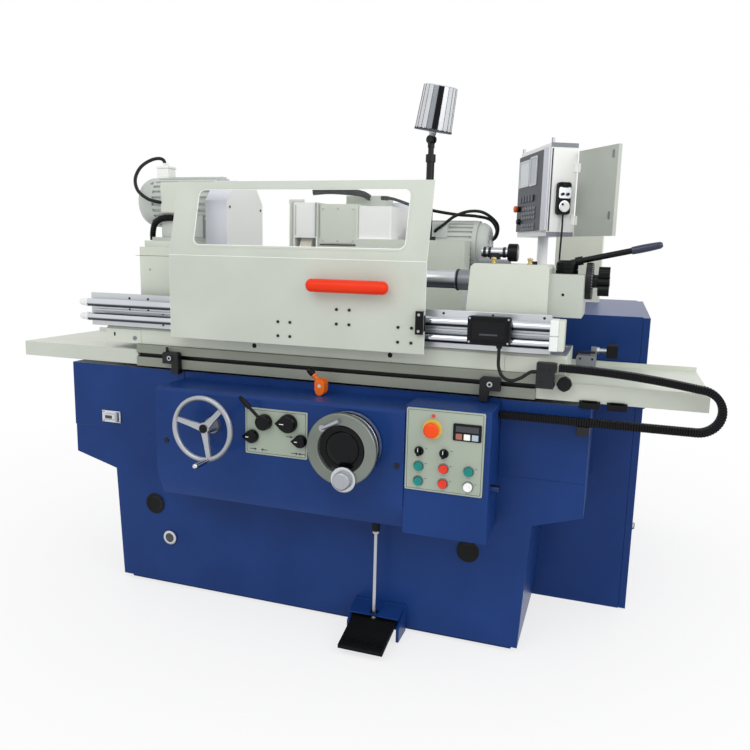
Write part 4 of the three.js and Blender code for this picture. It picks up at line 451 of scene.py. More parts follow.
def settle(name, mesh, body, replaces=(), angle=42):
    # Smooth shading that keeps broad faces flat, then the piece rides on its body, or keeps its place where
    # body is (first, second, start, end)
    mesh.shade_smooth()
    mesh.set_sharp_from_angle(angle=math.radians(angle))
    piece = placed(name, mesh)
    weights = piece.modifiers.new("weights", "WEIGHTED_NORMAL")
    weights.keep_sharp = True
    flatten(piece)
    if isinstance(body, str):
        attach(piece, body)
    else:
        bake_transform(piece)
    if replaces:
        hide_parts(*replaces)
    return piece


def flatten(piece):
    # Turns live modifiers into a plain mesh
    graph = bpy.context.evaluated_depsgraph_get()
    made = bpy.data.meshes.new_from_object(piece.evaluated_get(graph))
    piece.modifiers.clear()
    piece.data = made
    return piece


def skin(name, finish, body, bevel=0.0015, regions=(), angle=28):
    # A casting's own solid with its edges softened; regions are (low, high, finish) boxes of faces
    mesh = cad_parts[name].data
    shape = bmesh.new()
    shape.from_mesh(mesh)
    bmesh.ops.remove_doubles(shape, verts=shape.verts, dist=1e-5)
    bmesh.ops.dissolve_limit(shape, angle_limit=math.radians(1.5), verts=shape.verts, edges=shape.edges)
    slots = [finish]
    for face in shape.faces:
        face.material_index = 0
        middle = face.calc_center_median()
        for low, high, other in regions:
            if all(l <= c <= h for l, c, h in zip(low, middle, high)):
                if other not in slots:
                    slots.append(other)
                face.material_index = slots.index(other)
    softened(shape, bevel, 2, angle)
    out = meshOf(name + "_skin", shape)
    for slot in slots:
        out.materials.append(paint[slot])
    return settle(name + "_skin", out, body, (name,))


# Repeats: one tree for each rule, with named sizes

def newTree(name, inputs):
    tree = bpy.data.node_groups.new(name, "GeometryNodeTree")
    tree.interface.new_socket("Geometry", in_out="INPUT", socket_type="NodeSocketGeometry")
    for label, kind in inputs:
        tree.interface.new_socket(label, in_out="INPUT", socket_type=kind)
    tree.interface.new_socket("Geometry", in_out="OUTPUT", socket_type="NodeSocketGeometry")
    return tree, node(tree, "NodeGroupInput"), node(tree, "NodeGroupOutput")


def grow(name, tree, values, places, normals, body, finish):
    # Runs a tree over points whose normals say which way each repeat faces
    mesh = bpy.data.meshes.new(name)
    mesh.from_pydata([tuple(p) for p in places], [], [])
    facing = mesh.attributes.new("facing", "FLOAT_VECTOR", "POINT")
    for item, normal in zip(facing.data, normals):
        item.vector = normal
    piece = placed(name, mesh)
    modifier = piece.modifiers.new("repeat", "NODES")
    modifier.node_group = tree
    sockets = {s.name: s.identifier for s in tree.interface.items_tree if s.in_out == "INPUT"}
    for label, value in {**values, "Finish": paint[finish]}.items():
        modifier[sockets[label]] = value
    grown = flatten(piece).data
    bpy.data.objects.remove(piece)
    if not grown.materials:
        grown.materials.append(paint[finish])
    return settle(name, grown, body)


def screwTree():
    # A cap screw: a low cylinder with a small six-sided step on top
    tree, entry, leave = newTree("capScrews",
        [("Radius", "NodeSocketFloat"), ("Height", "NodeSocketFloat"), ("Sides", "NodeSocketInt"),
        ("Finish", "NodeSocketMaterial")])
    head = node(tree, "GeometryNodeMeshCylinder",
        links={"Vertices": entry.outputs["Sides"], "Radius": entry.outputs["Radius"],
        "Depth": entry.outputs["Height"]})
    narrow = node(tree, "ShaderNodeMath", {"operation": "MULTIPLY"}, {1: 0.55}, {0: entry.outputs["Radius"]})
    half = node(tree, "ShaderNodeMath", {"operation": "MULTIPLY"}, {1: 0.5}, {0: entry.outputs["Height"]})
    lift = node(tree, "ShaderNodeCombineXYZ", links={"Z": half})
    button = node(tree, "GeometryNodeMeshCylinder", values={"Vertices": 6, "Depth": 0.0008},
        links={"Radius": narrow})
    raised = node(tree, "GeometryNodeTransform", links={"Geometry": button, "Translation": lift})
    both = node(tree, "GeometryNodeJoinGeometry")
    tree.links.new(head.outputs["Mesh"], both.inputs[0])
    tree.links.new(raised.outputs[0], both.inputs[0])
    return closeTree(tree, entry, leave, both)


def closeTree(tree, entry, leave, item):
    # Instances on the points, turned to face their attribute, made real and given their finish
    dots = node(tree, "GeometryNodeMeshToPoints", links={"Mesh": entry.outputs["Geometry"]})
    facing = node(tree, "GeometryNodeInputNamedAttribute", {"data_type": "FLOAT_VECTOR"}, {"Name": "facing"})
    aim = node(tree, "FunctionNodeAlignRotationToVector", {"axis": "Z"}, links={"Vector": facing})
    instances = node(tree, "GeometryNodeInstanceOnPoints",
        links={"Points": dots, "Instance": item, "Rotation": aim})
    real = node(tree, "GeometryNodeRealizeInstances", links={0: instances})
    coat = node(tree, "GeometryNodeSetMaterial",
        links={"Geometry": real, "Material": entry.outputs["Finish"]})
    tree.links.new(coat.outputs[0], leave.inputs[0])
    return tree


def slatTree():
    # A plain bar: length along the facing direction
    tree, entry, leave = newTree("slats", [("Size", "NodeSocketVector"), ("Finish", "NodeSocketMaterial")])
    bar = node(tree, "GeometryNodeMeshCube", links={"Size": entry.outputs["Size"]})
    return closeTree(tree, entry, leave, bar)


def copyTree():
    # Copies of a small mesh, its own Z turned along the facing direction
    tree, entry, leave = newTree("copies", [("Item", "NodeSocketObject"), ("Finish", "NodeSocketMaterial")])
    item = node(tree, "GeometryNodeObjectInfo", links={"Object": entry.outputs["Item"]})
    return closeTree(tree, entry, leave, item.outputs["Geometry"])


toFront = (0, -1, 0)
trees = {"screws": screwTree(), "slats": slatTree(), "copies": copyTree()}


def screws(name, places, body, finish="blackOxide", radius=0.005, height=0.003, sides=18, facing=toFront):
    normals = [facing] * len(places)
    return grow(name, trees["screws"], {"Radius": radius, "Height": height, "Sides": sides}, places, normals,
        body, finish)


def slats(name, places, normals, size, body, finish):
    return grow(name, trees["slats"], {"Size": size}, places, normals, body, finish)


def copies(name, shape, places, normals, body, finish):
    # shape: a bmesh around the origin
    bmesh.ops.recalc_face_normals(shape, faces=shape.faces)
    item = placed(name + "_item", meshOf(name + "_item", shape))
    made = grow(name, trees["copies"], {"Item": item}, places, normals, body, finish)
    bpy.data.objects.remove(item)
    return made


print("tools ready")


# Cords. Their routes repeat the points of the part's source.

consolePlace = {"centre": (0.638, 0.6815), "turn": -64.1}


def fromConsole(x, y, z):
    # A place beside the console, given across and out from its middle
    angle = math.radians(consolePlace["turn"])
    cx, cy = consolePlace["centre"]
    return (cx + x * math.cos(angle) - y * math.sin(angle), cy + x * math.sin(angle) + y * math.cos(angle), z)


cordX = 191.3
cordRoutes = {
    "pendant_cord": {"points": [fromConsole(*p)
        for p in metres([(cordX, 2, 1398.4), (cordX, 2, 1384), (cordX + 4, 1, 1350), (cordX + 9, -2, 1300),
        (cordX + 11, -4, 1240), (cordX + 8, -3, 1180), (cordX + 3, 0, 1130), (cordX, 2, 1090),
        (cordX, 2, 1066.6)])], "radius": 0.0036, "bodies": ("machine", "console")},
    "interlock_lead": {"points": metres([(632, -296, 984.4), (632, -296, 960), (634, -298, 920),
        (648, -300, 893), (672, -302, 884), (698, -300, 893), (716, -296, 906), (728, -291, 913),
        (741.4, -290, 914)]), "radius": 0.005, "bodies": ("table", "swivel_table")},
}


def makeCord(name, route):
    path = smoothPath(route["points"], 10)
    first, second = route["bodies"]
    cord = Form(name + "_skin", (first, second, tuple(path[-1]), tuple(path[0])), (name,))
    cord.add(pipe(path, route["radius"], 16, 0), "cordRubber")
    piece = cord.done()


for name, route in cordRoutes.items():
    makeCord(name, route)
print("cords made")


# Bed, its plugs and the latch on its shoulder

bedLook = {
    "front": -0.24,
    "plugs": [(-0.599, 0.315, 0.0395), (0.56, 0.317, 0.037)],
    "sight": (-0.538, 0.193, 0.026),
    "latch": (-0.775, 0.6245), "shoulder": -0.244,
    "regions": [((-0.79, -0.19, 0.8155), (0.81, 0.1, 0.83), "castSteel"),
        ((0.86, -0.31, 0.7), (0.91, -0.2405, 0.8), "blackOxide")],  # the ways, the chain's bracket
}


def makeBed(look):
    skin("bed_casting", "blueEnamel", "machine", 0.004, look["regions"])
    front = look["front"]
    plugs = Form("bed_plugs", "machine")
    reach = front - 0.003
    for x, z, radius in look["plugs"]:
        plugs.add(lathed("y", (x, reach, z), [
            (-0.0004, 0), (-0.0004, radius * 0.62), (-0.0022, radius * 0.7), (-0.0022, radius * 0.96),
            (0, radius * 0.98), (0, 0)]), "blackPhenolic")
    x, z, radius = look["sight"]
    plugs.add(turned("y", (x, reach, z), [
        (0, radius * 0.62), (-0.005, radius * 0.66), (-0.006, radius * 0.8), (-0.004, radius), (0, radius)],
        48), "satinAluminium")
    plugs.add(turned("y", (x, reach, z), [
        (0, radius * 0.63), (-0.0026, radius * 0.63), (-0.0034, radius * 0.3), (-0.0036, 0), (0, 0)], 40),
        "screenGlass")
    plugs.done()
    x, z = look["latch"]
    front = look["shoulder"]
    latch = Form("shoulder_latch", "machine", (), "hardChrome")
    latch.add(block((x - 0.04, front - 0.004, z - 0.022), (x + 0.04, front, z + 0.022), 0.0016))
    latch.add(block((x - 0.026, front - 0.013, z - 0.011), (x + 0.022, front - 0.003, z + 0.011), 0.003, 3))
    latch.add(rod("z", (x + 0.026, front - 0.008, z), (-0.018, 0.018), 0.005), "groundSteel")
    latch.add(block((x - 0.02, front - 0.0136, z - 0.006), (x + 0.01, front - 0.0122, z + 0.006), 0.0004),
        "darkPanel")
    latch.done()
    screws("latch_screws", [(x + dx, front - 0.0052, z + dz) for dx in (-0.034, 0.036)
        for dz in (-0.017, 0.017)], "machine", "groundSteel", 0.0032, 0.0018)


makeBed(bedLook)

cabinetLook = {
    "front": 0.1953, "side": 1.057, "latchZ": (0.3, 0.74),
    "column": [((0.66, 0.89, 1.0485), (0.88, 1.06, 1.41), "beigeColumn")],
}


def makeCabinet(look):
    skin("cabinet_body", "blueEnamel", "machine", 0.0025, look["column"])
    skin("cabinet_door", "blueEnamel", "cabinet_door", 0.0015)
    locks = Form("cabinet_locks", "cabinet_door")
    for z in look["latchZ"]:
        locks.add(rod("x", (look["side"], look["front"] + 0.045, z), (-0.001, 0.006), 0.013),
            "satinAluminium")
        locks.add(block((look["side"] + 0.005, look["front"] + 0.042, z - 0.01),
            (look["side"] + 0.009, look["front"] + 0.048, z + 0.01), 0.001), "blackOxide")
    locks.done()


makeCabinet(cabinetLook)
print("bed and cabinet made")


# Tables, wings and dogs

tableLook = {
    "front": -0.25, "slotZ": 0.8633, "dogs": {"left_dog": (-0.5, 1), "right_dog": (0.607, -1)},
    "sockets": [(-0.192, 0.923), (0.284, 0.924)],
    # painted shade: the T-slot's faces take black oxide, standing in for the shade inside the slot
    "slot": [((-0.7, -0.2495, 0.845), (0.8, -0.22, 0.881), "blackOxide")],
    "ground": [((-0.9, -0.23, 0.9572), (0.9, 0.05, 0.958), "groundSteel")],
}


def makeTables(look):
    skin("lower_table", "tableEnamel", "table", 0.0018, look["slot"])
    low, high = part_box("left_wing")
    # painted shade: the wing's front face takes the guard's darker cream, standing in for the shade on that
    # side
    front = ((low[0] - 0.01, low[1] - 0.01, low[2] - 0.01), (high[0] + 0.01, low[1] + 0.002, high[2] + 0.01))
    skin("left_wing", "creamEnamel", "table", 0.002, [front + ("guardEnamel",)])
    skin("upper_table", "creamEnamel", "swivel_table", 0.0018, look["ground"])
    trim = Form("table_sockets", "swivel_table", (), "blackNylon")
    trim.add(prism("x", [(-0.2434, 0.9235), (-0.2415, 0.9235), (-0.2415, 0.9365), (-0.2434, 0.9365)],
        (-0.753, -0.7465), 0.0002))
    for x, z in look["sockets"]:
        trim.add(lathed("y", (x, 0, z), [(-0.2425, 0), (-0.2425, 0.0055), (-0.2418, 0.008), (-0.2395, 0.008),
            (-0.2395, 0)], 0.0005, 2, 32))
        trim.add(prism("y", roundedBox((x - 0.019, x + 0.019), (z - 0.013, z + 0.013), 0.004),
            (-0.2406, -0.2395), 0.0004), "creamEnamel")
    trim.done()
    screws("table_end_screws", [(-0.6645, -0.244, 0.9195)], "swivel_table", "castSteel", 0.0075, 0.003)
    for name, (x, way) in look["dogs"].items():
        makeDog(name, x, way, look)


def makeDog(name, x, way, look):
    # way says on which side its leg hangs: -1 left, 1 right
    z = look["slotZ"]
    dog = Form(name + "_body", name, (name,), "blackOxide")
    front = look["front"] - 0.0003
    outline = [(0.031, -0.054), (0.005, -0.054), (0.005, -0.02), (-0.031, -0.02), (-0.031, 0.014),
        (-0.025, 0.02), (0.025, 0.02), (0.031, 0.014)]
    outline = [(x + way * u, z + v) for u, v in outline]
    dog.add(prism("y", outline, (front - 0.024, front), 0.0018))
    dog.add(block((x - 0.017, front - 0.001, z - 0.0055), (x + 0.017, -0.2385, z + 0.0055), 0.0004),
        "castSteel")
    dog.add(block((x - 0.017, -0.2377, z - 0.0115), (x + 0.017, -0.23, z + 0.0115), 0.0004), "castSteel")
    dog.add(rod("y", (x, front, z), (-0.031, -0.023), 0.0088, 0.001, 24), "groundSteel")
    dog.add(rod("y", (x, front, z), (-0.0316, -0.03), 0.0048, 0.0003, 6), "blackPhenolic")
    if way > 0:
        dog.add(rod("z", (x - 0.019, front - 0.012, z), (0.019, 0.036), 0.0048, 0.001, 24))
    dog.done()


makeTables(tableLook)

wingLook = {
    "front": -0.24, "top": 0.879, "knob": (0.82, 0.879), "clamp": (0.742, 0.792), "adjuster": (0.834, 0.052),
    "stubs": [(0.864, 0.923), (0.941, 0.997)],
    "regions": [((0.74, -0.303, 0.86), (0.7995, -0.2405, 0.945), "blackOxide"),
        ((0.79, -0.29, 0.84), (0.86, -0.2405, 0.91), "blackNylon"),
        ((0.833, 0.02, 0.8795), (0.898, 0.09, 0.96), "castSteel"),
        ((0.898, 0.02, 0.9), (0.98, 0.09, 0.98), "blackNylon")],
}


def makeRightWing(look):
    skin("right_wing", "creamEnamel", "table", 0.002, look["regions"])
    x, z = look["knob"]
    knob = Form("cross_knob", "table")
    front = look["front"] - 0.008
    lobes = lobed((x, z), 0.0195, [(4, 0.0022, 0)], 48)
    knob.add(prism("y", lobes, (front - 0.0212, front + 0.0004), 0.003, 3), "blackPhenolic")
    knob.add(rod("y", (x, front, z), (-0.0219, -0.018), 0.008, 0.0012, 24), "groundSteel")
    knob.done()
    left, right = look["clamp"]
    screws("clamp_screws", [(left + 0.014, -0.3034, 0.921), (right - 0.014, -0.3034, 0.921),
        (left + 0.014, -0.3034, 0.884)], "table", "blackOxide", 0.0045, 0.003)
    front = look["front"] - 0.0075
    for left, right in look["stubs"]:
        stub = Form("wing_stub_" + str(round(left * 1000)), "table", (), "blackNylon")
        stub.add(block((left, front - 0.0048, 0.8105), (right, front + 0.0018, 0.8335), 0.0012))
        stub.add(block((left + 0.008, front - 0.0048, 0.8275), (right - 0.008, front + 0.0085, 0.8335),
            0.0008))
        stub.done()
    x, y = look["adjuster"]
    dial = Form("swivel_adjuster", "table", (), "groundSteel")
    z = look["top"] - 0.001 + 0.066
    dial.add(rod("x", (x, y, z), (0.0615, 0.07), 0.0105, 0.001, 32), "satinAluminium")
    dial.add(rod("x", (x, y, z), (0.0695, 0.0925), 0.0074, 0.001, 24))
    lobes = lobed((y, z), 0.0212, [(4, 0.0012, turn / 2)], 64)
    dial.add(prism("x", lobes, (x + 0.0916, x + 0.1262), 0.004, 3), "blackPhenolic")
    dial.add(pipe([(x + 0.058, y - 0.016, z - 0.006), (x + 0.03, y - 0.02, z - 0.004),
        (x + 0.004, y - 0.021, z - 0.007), (x - 0.006, y - 0.021, z - 0.024)], 0.0038, 16, 8), "blackOxide")
    dial.add(block((x - 0.0006, y - 0.019, look["top"] + 0.006), (x + 0.003, y + 0.019, look["top"] + 0.042),
        0.001))
    dial.done()
    screws("adjuster_screws", [(x + dx, y - 0.0224, look["top"] + dz) for dx in (0.012, 0.05)
        for dz in (0.012, 0.038)], "table", "blackOxide", 0.0038, 0.0024)


makeRightWing(wingLook)
print("tables made")


# Apron, handwheels and levers

apronLook = {
    "front": -0.41, "plate": ((-0.132, 0.08), (0.606, 0.754)), "plateFront": -0.414,
    "plugs": [(-0.427, 0.6125), (0.367, 0.62)],
    "arrows": [(-0.106, 0.622, 1), (-0.064, 0.622, -1), (0.036, 0.622, 1), (0.064, 0.622, -1),
        (0.018, 0.673, 1)],
    "regions": [((-0.28, -0.427, 0.65), (-0.22, -0.411, 0.72), "castSteel"),
        ((0.12, -0.42, 0.57), (0.33, -0.4145, 0.78), "groundSteel")],  # bosses of the two wheels
}


def makeApron(look):
    (left, right), (low, high) = look["plate"]
    skin("apron_housing", "blueEnamel", "machine", 0.003,
        [((left - 0.001, -0.4145, low - 0.001), (right + 0.001, -0.4102, high + 0.001), "platePrint"),
        *look["regions"]])
    front = look["plateFront"]
    trim = Form("lever_plate_lines", "machine", (), "darkPanel")
    edge = 0.0011
    x0, x1, z0, z1 = left + 0.005, right - 0.005, low + 0.005, high - 0.005
    for x0, x1, z0, z1 in ((x0, x1, z0, z0 + edge), (x0, x1, z1 - edge, z1), (x0, x0 + edge, z0, z1),
            (x1 - edge, x1, z0, z1)):
        trim.add(block((x0, front - 0.0005, z0), (x1, front + 0.0002, z1), 0))
    for x, z, way in look["arrows"]:
        shaft = block((x - 0.009, front - 0.0005, z - 0.0011), (x + 0.009, front + 0.0002, z + 0.0011), 0)
        tip = [(x + way * 0.014, z), (x + way * 0.006, z + 0.0045), (x + way * 0.006, z - 0.0045)]
        trim.add(shaft).add(prism("y", tip, (front - 0.0005, front + 0.0002), 0))
    trim.done()
    screws("lever_plate_screws", [(x, front - 0.0006, z)
        for x, z in corners((left, right), (low, high), 0.011)], "machine", "groundSteel", 0.003, 0.0012)
    screws("apron_screws", [(x, look["front"] - 0.0012, z) for x, z in look["plugs"]], "machine",
        "blackOxide", 0.0085, 0.0026, 28)


makeApron(apronLook)

wheelLook = {
    "centre": (-0.247, 0.685), "rimY": -0.48, "radius": 0.098, "thick": 0.0084, "hub": 0.019,
    "hubFront": -0.4743, "hubBack": -0.4263, "spokes": 3, "first": -76, "dish": 0.012,
}


def dished(spoke, depth, reach):
    # A spoke starts behind the rim's plane and runs forward to it
    for vertex in spoke.verts:
        vertex.co.y += depth * (1 - vertex.co.x / reach)
    return spoke


def makeTableWheel(look):
    x, z = look["centre"]
    rimY, radius = look["rimY"], look["radius"]
    wheel = Form("table_wheel", "table_handwheel", ("table_handwheel",), "wheelGrey")
    wheel.add(ringOf("y", (x, rimY, z), radius, look["thick"], 96, 24))
    hub = [(look["hubFront"], 0), (look["hubFront"], 0.0165), (look["hubFront"] + 0.004, look["hub"]),
        (rimY + 0.03, look["hub"]), (look["hubBack"] - 0.004, 0.0215), (look["hubBack"], 0.0215),
        (look["hubBack"], 0)]
    wheel.add(lathed("y", (x, 0, z), hub, 0.002, 3))
    for i in range(look["spokes"]):
        angle = look["first"] + 360 * i / look["spokes"]
        outline = [(0.012, -0.0115), (0.05, -0.0085), (radius - 0.003, -0.0075), (radius - 0.003, 0.0075),
            (0.05, 0.0085), (0.012, 0.0115)]
        spoke = dished(prism("y", outline, (-0.0045, 0.0045), 0.003, 3), look["dish"], radius)
        wheel.add(moved(spun(spoke, "y", -angle), Matrix.Translation((x, rimY, z))))
    wheel.add(lathed("y", (x, look["hubFront"], z),
        [(-0.005, 0), (-0.005, 0.0105), (-0.0034, 0.0138), (0.001, 0.014), (0.001, 0)], 0.0012, 3, 40),
        "blackPhenolic")
    angle = math.radians(look["first"])
    gx, gz = x + radius * math.cos(angle), z + radius * math.sin(angle)
    grip = [(rimY - 0.0855, 0), (rimY - 0.0855, 0.006), (rimY - 0.08, 0.0088), (rimY - 0.05, 0.0089),
        (rimY - 0.026, 0.0078), (rimY - 0.022, 0.0064), (rimY - 0.022, 0)]
    wheel.add(lathed("y", (gx, 0, gz), grip, 0.004, 3, 32), "hardChrome")
    wheel.add(rod("y", (gx, rimY, gz), (-0.023, 0), 0.005), "groundSteel")
    wheel.done()


makeTableWheel(wheelLook)

dialLook = {
    "centre": (0.222, 0.675), "face": -0.4973, "radius": 0.108, "back": -0.4193, "drum": 0.101,
    "dish": 0.073, "depth": 0.016, "dome": 0.05, "stop": (-0.057, 0.06), "marks": 50,
}


def makeFeedWheel(look):
    x, z = look["centre"]
    face, radius = look["face"], look["radius"]
    wheel = Form("feed_wheel", "crossfeed_handwheel", ("crossfeed_handwheel",), "wheelGrey")
    ring = [(face + 0.012, look["dish"] - 0.003), (face + 0.001, look["dish"]), (face, look["dish"] + 0.002),
        (face, radius - 0.003), (face + 0.003, radius), (face + 0.018, radius),
        (face + 0.02, look["drum"] + 0.001), (face + 0.012, look["drum"])]
    wheel.add(turned("y", (x, 0, z), rounded(ring + ring[:1], 0.0012, 2)[:-1], 96), "dullRing")
    dish = [(face + 0.02, 0.095), (face + 0.004, look["dish"] + 0.0002), (face + 0.01, look["dish"] - 0.002),
        (face + look["depth"], look["dish"] - 0.01), (face + look["depth"], look["dome"] + 0.002),
        (face + look["depth"] - 0.004, look["dome"]), (face + 0.007, look["dome"] * 0.7), (face + 0.004, 0)]
    wheel.add(turned("y", (x, 0, z), [(face + 0.02, 0)] + rounded(dish, 0.004, 4), 80), "blackPhenolic")
    drum = [(face + 0.018, 0), (face + 0.018, look["drum"]), (face + 0.04, look["drum"]),
        (face + 0.041, look["drum"] - 0.003), (face + 0.044, look["drum"] - 0.003),
        (face + 0.045, look["drum"] - 0.001), (look["back"], look["drum"] - 0.001), (look["back"], 0)]
    wheel.add(lathed("y", (x, 0, z), drum, 0.0006, 1, 96), "satinAluminium")
    wheel.add(turned("y", (x, face, z), [(0.0452, look["drum"] - 0.004), (0.0452, look["drum"] - 0.0004),
        (0.058, look["drum"] - 0.0004), (0.058, look["drum"] - 0.004)], 96), "blackNylon")
    dx, dz = look["stop"]
    wheel.add(rod("y", (x + dx, face, z + dz), (-0.006, 0.003), 0.01, 0.0015))
    wheel.add(pipe([(x + dx, face - 0.007, z + dz), (x + dx + 0.026, face - 0.008, z + dz + 0.013),
        (x + dx + 0.052, face - 0.007, z + dz + 0.026)], lambda t: 0.0045 + 0.0028 * t, 16, 6))
    wheel.done()
    for name, length, isLong in (("long", 0.014, True), ("short", 0.008, False)):
        # every fifth line of the scale is a long one
        places, ways = spread("y", (x, face + 0.0225 + length / 2, z), look["drum"], look["marks"])
        these = [i for i in range(look["marks"]) if (i % 5 == 0) == isLong]
        slats("feed_" + name + "_marks", [places[i] for i in these], [ways[i] for i in these],
            (0.0009, length, 0.0005), "crossfeed_handwheel", "darkPanel")


makeFeedWheel(dialLook)

knobLook = {"centre": (0.234, 0.589), "face": -0.4976, "radius": 0.038, "cap": 0.027, "ribs": 36}


def makeFineKnob(look):
    x, z = look["centre"]
    face = look["face"]
    knob = Form("fine_knob", "fine_feed_knob", ("fine_feed_knob",))
    knob.add(lathed("y", (x, face, z), [(-0.0002, 0), (-0.0002, look["radius"] - 0.001),
        (-0.0015, look["radius"]), (-0.008, look["radius"]), (-0.009, look["radius"] - 0.004), (-0.009, 0)],
        0.0008, 2, 64), "satinAluminium")
    knob.add(lathed("y", (x, face, z), [(-0.0085, 0), (-0.0085, look["cap"]), (-0.026, look["cap"] - 0.001),
        (-0.0288, look["cap"] - 0.004), (-0.0288, 0)], 0.002, 3, 64), "wheelGrey")
    knob.add(rod("y", (x, face, z), (0.0002, 0.0045), 0.0125), "groundSteel")
    knob.done()
    places, ways = spread("y", (x, face - 0.0175, z), look["cap"] - 0.0004, look["ribs"])
    slats("fine_knob_ribs", places, ways, (0.0022, 0.014, 0.0014), "fine_feed_knob", "wheelGrey")


makeFineKnob(knobLook)

leverLook = {
    "plate": -0.414, "lever": (-0.063, 0.713), "angle": 130, "lift": 0.25,
    "knobs": {"feed_knob": (0.018, 0.716, 0.03, 0.024, 0.04),
        "left_knob": (-0.106, 0.663, 0.022, 0.02, 0.032), "right_knob": (0.06, 0.664, 0.021, 0.02, 0.03)},
}


def makeLevers(look):
    plate = look["plate"] - 0.0003
    x, z = look["lever"]
    lever = Form("start_lever", "hydraulic_lever", ("hydraulic_lever",), "blackPhenolic")
    lever.add(lathed("y", (x, plate, z), [
        (0, 0), (0, 0.0255), (-0.004, 0.026), (-0.023, 0.0245), (-0.0262, 0.016), (-0.0272, 0)], 0.003, 3,
        56))
    angle = math.radians(look["angle"])
    along = Vector((math.cos(angle), -look["lift"], math.sin(angle)))
    start = Vector((x, plate - 0.0127, z))
    lever.add(pipe([start, start + along * 0.062], 0.005, 20, 0))
    grip = lambda t: 0.0048 + 0.0033 * math.sin(math.pi * min(1, 0.16 + t * 0.9)) ** 0.5
    lever.add(pipe([start + along * (0.06 + 0.0457 * i / 12) for i in range(13)], grip, 24, 0))
    lever.done()
    for name, (x, z, radius, length, nose) in look["knobs"].items():
        makePointer(name, x, z, radius, length, nose, plate)


def makePointer(name, x, z, radius, length, nose, plate):
    # A round knob with a wedge nose that points to its mark
    knob = Form(name + "_body", name, (name,), "blackPhenolic")
    knob.add(lathed("y", (x, plate, z), [(0, 0), (0, radius * 0.97), (-0.003, radius),
        (-length * 0.72, radius * 0.95), (-length + 0.0006, radius * 0.78), (-length + 0.0004, 0)], 0.003, 4,
        64))
    wedge = [(x - nose + 0.001, z), (x - radius * 0.6, z - radius * 0.66),
        (x - radius * 0.2, z - radius * 0.5), (x - radius * 0.2, z + radius * 0.5),
        (x - radius * 0.6, z + radius * 0.66)]
    knob.add(prism("y", wedge, (plate - length * 0.86, plate - 0.001), 0.0028, 3))
    knob.add(block((x - radius * 0.72, plate - length + 0.0001, z - 0.0012),
        (x - radius * 0.25, plate - length + 0.0014, z + 0.0012), 0.0003), "whiteAbs")
    knob.done()


makeLevers(leverLook)

reverserLook = {
    "centre": (0.079, -0.306, 0.8053), "half": 0.016, "depth": 0.017, "height": 0.038, "hub": 0.015,
    "angle": 135,
}


def makeReverser(look):
    # An orange head on a cross hub, its short arm and round black grip leaning left
    x, y, z = look["centre"]
    half, deep = look["half"], look["depth"]
    lever = Form("reverser", "reversing_lever", ("reversing_lever",), "leverOrange")
    lever.add(rod("y", (x, y, z), (-deep, deep), look["hub"] - 0.0004, 0.0014, 40))
    outline = [(x - half, z), (x + half, z), (x + half, z + look["height"] - 0.008),
        (x + half - 0.006, z + look["height"]), (x - half + 0.006, z + look["height"]),
        (x - half, z + look["height"] - 0.008)]
    lever.add(prism("y", outline, (y - deep + 0.0004, y + deep - 0.0004), 0.0026, 3))
    angle = math.radians(look["angle"])
    along = Vector((math.cos(angle), 0, math.sin(angle)))
    start = Vector((x - half / 2, y, z + look["height"] - half / 2))
    lever.add(pipe([start, start + along * 0.027], 0.006, 24, 0))
    lever.add(pipe([start + along * 0.0205, start + along * 0.0262], 0.0088, 32, 0))
    grip = lambda t: 0.0109 * (1 - 0.3 * max(0, abs(t - 0.5) - 0.32) / 0.18)
    lever.add(pipe([start + along * (0.0258 + 0.0258 * i / 10) for i in range(11)], grip, 32, 0),
        "blackPhenolic")
    lever.add(rod("y", (x, y, z + 0.016), (-deep - 0.0002, -deep + 0.004), 0.006, 0.0006, 24), "groundSteel")
    lever.done()


makeReverser(reverserLook)
print("apron made")


# Control box, its face plate and what is pressed and turned on it

panelLook = {
    "front": -0.4103, "back": -0.4053, "across": (0.393, 0.623), "rise": (0.556, 0.802), "corner": 0.005,
    "display": ((0.532, 0.614), (0.718, 0.768)), "keys": ("brickKey", "whiteAbs", "paleBlueKey"),
    "ring": 0.016, "cap": 0.013, "stop": (0.471, 0.743), "stopRadius": 0.023, "lamp": (0.474, 0.783),
    "caps": {"green": "signalGreen", "red": "signalRed", "white": "whiteAbs"},
    "glands": [((0.6405, -0.372, 0.55), (0.7, -0.358, 0.6), "blackNylon"),
        ((0.6, -0.302, 0.764), (0.6445, -0.27, 0.792), "blackNylon")],
}


def centreOf(name):
    low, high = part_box(name)
    return [(a + b) / 2 for a, b in zip(low, high)]


def ringFrame(outer, inner, span, bevel=0.0004):
    # A flat frame between two outlines in (x, z) that have the same number of points
    shape = bmesh.new()
    loops = [[shape.verts.new((u, y, v)) for u, v in line] for y in span for line in (outer, inner)]
    count = len(outer)
    for i in range(count):
        j = (i + 1) % count
        for first, second in ((0, 1), (2, 3), (0, 2), (1, 3)):
            a, b = loops[first], loops[second]
            shape.faces.new((a[i], a[j], b[j], b[i]))
    return softened(shape, bevel, 1)


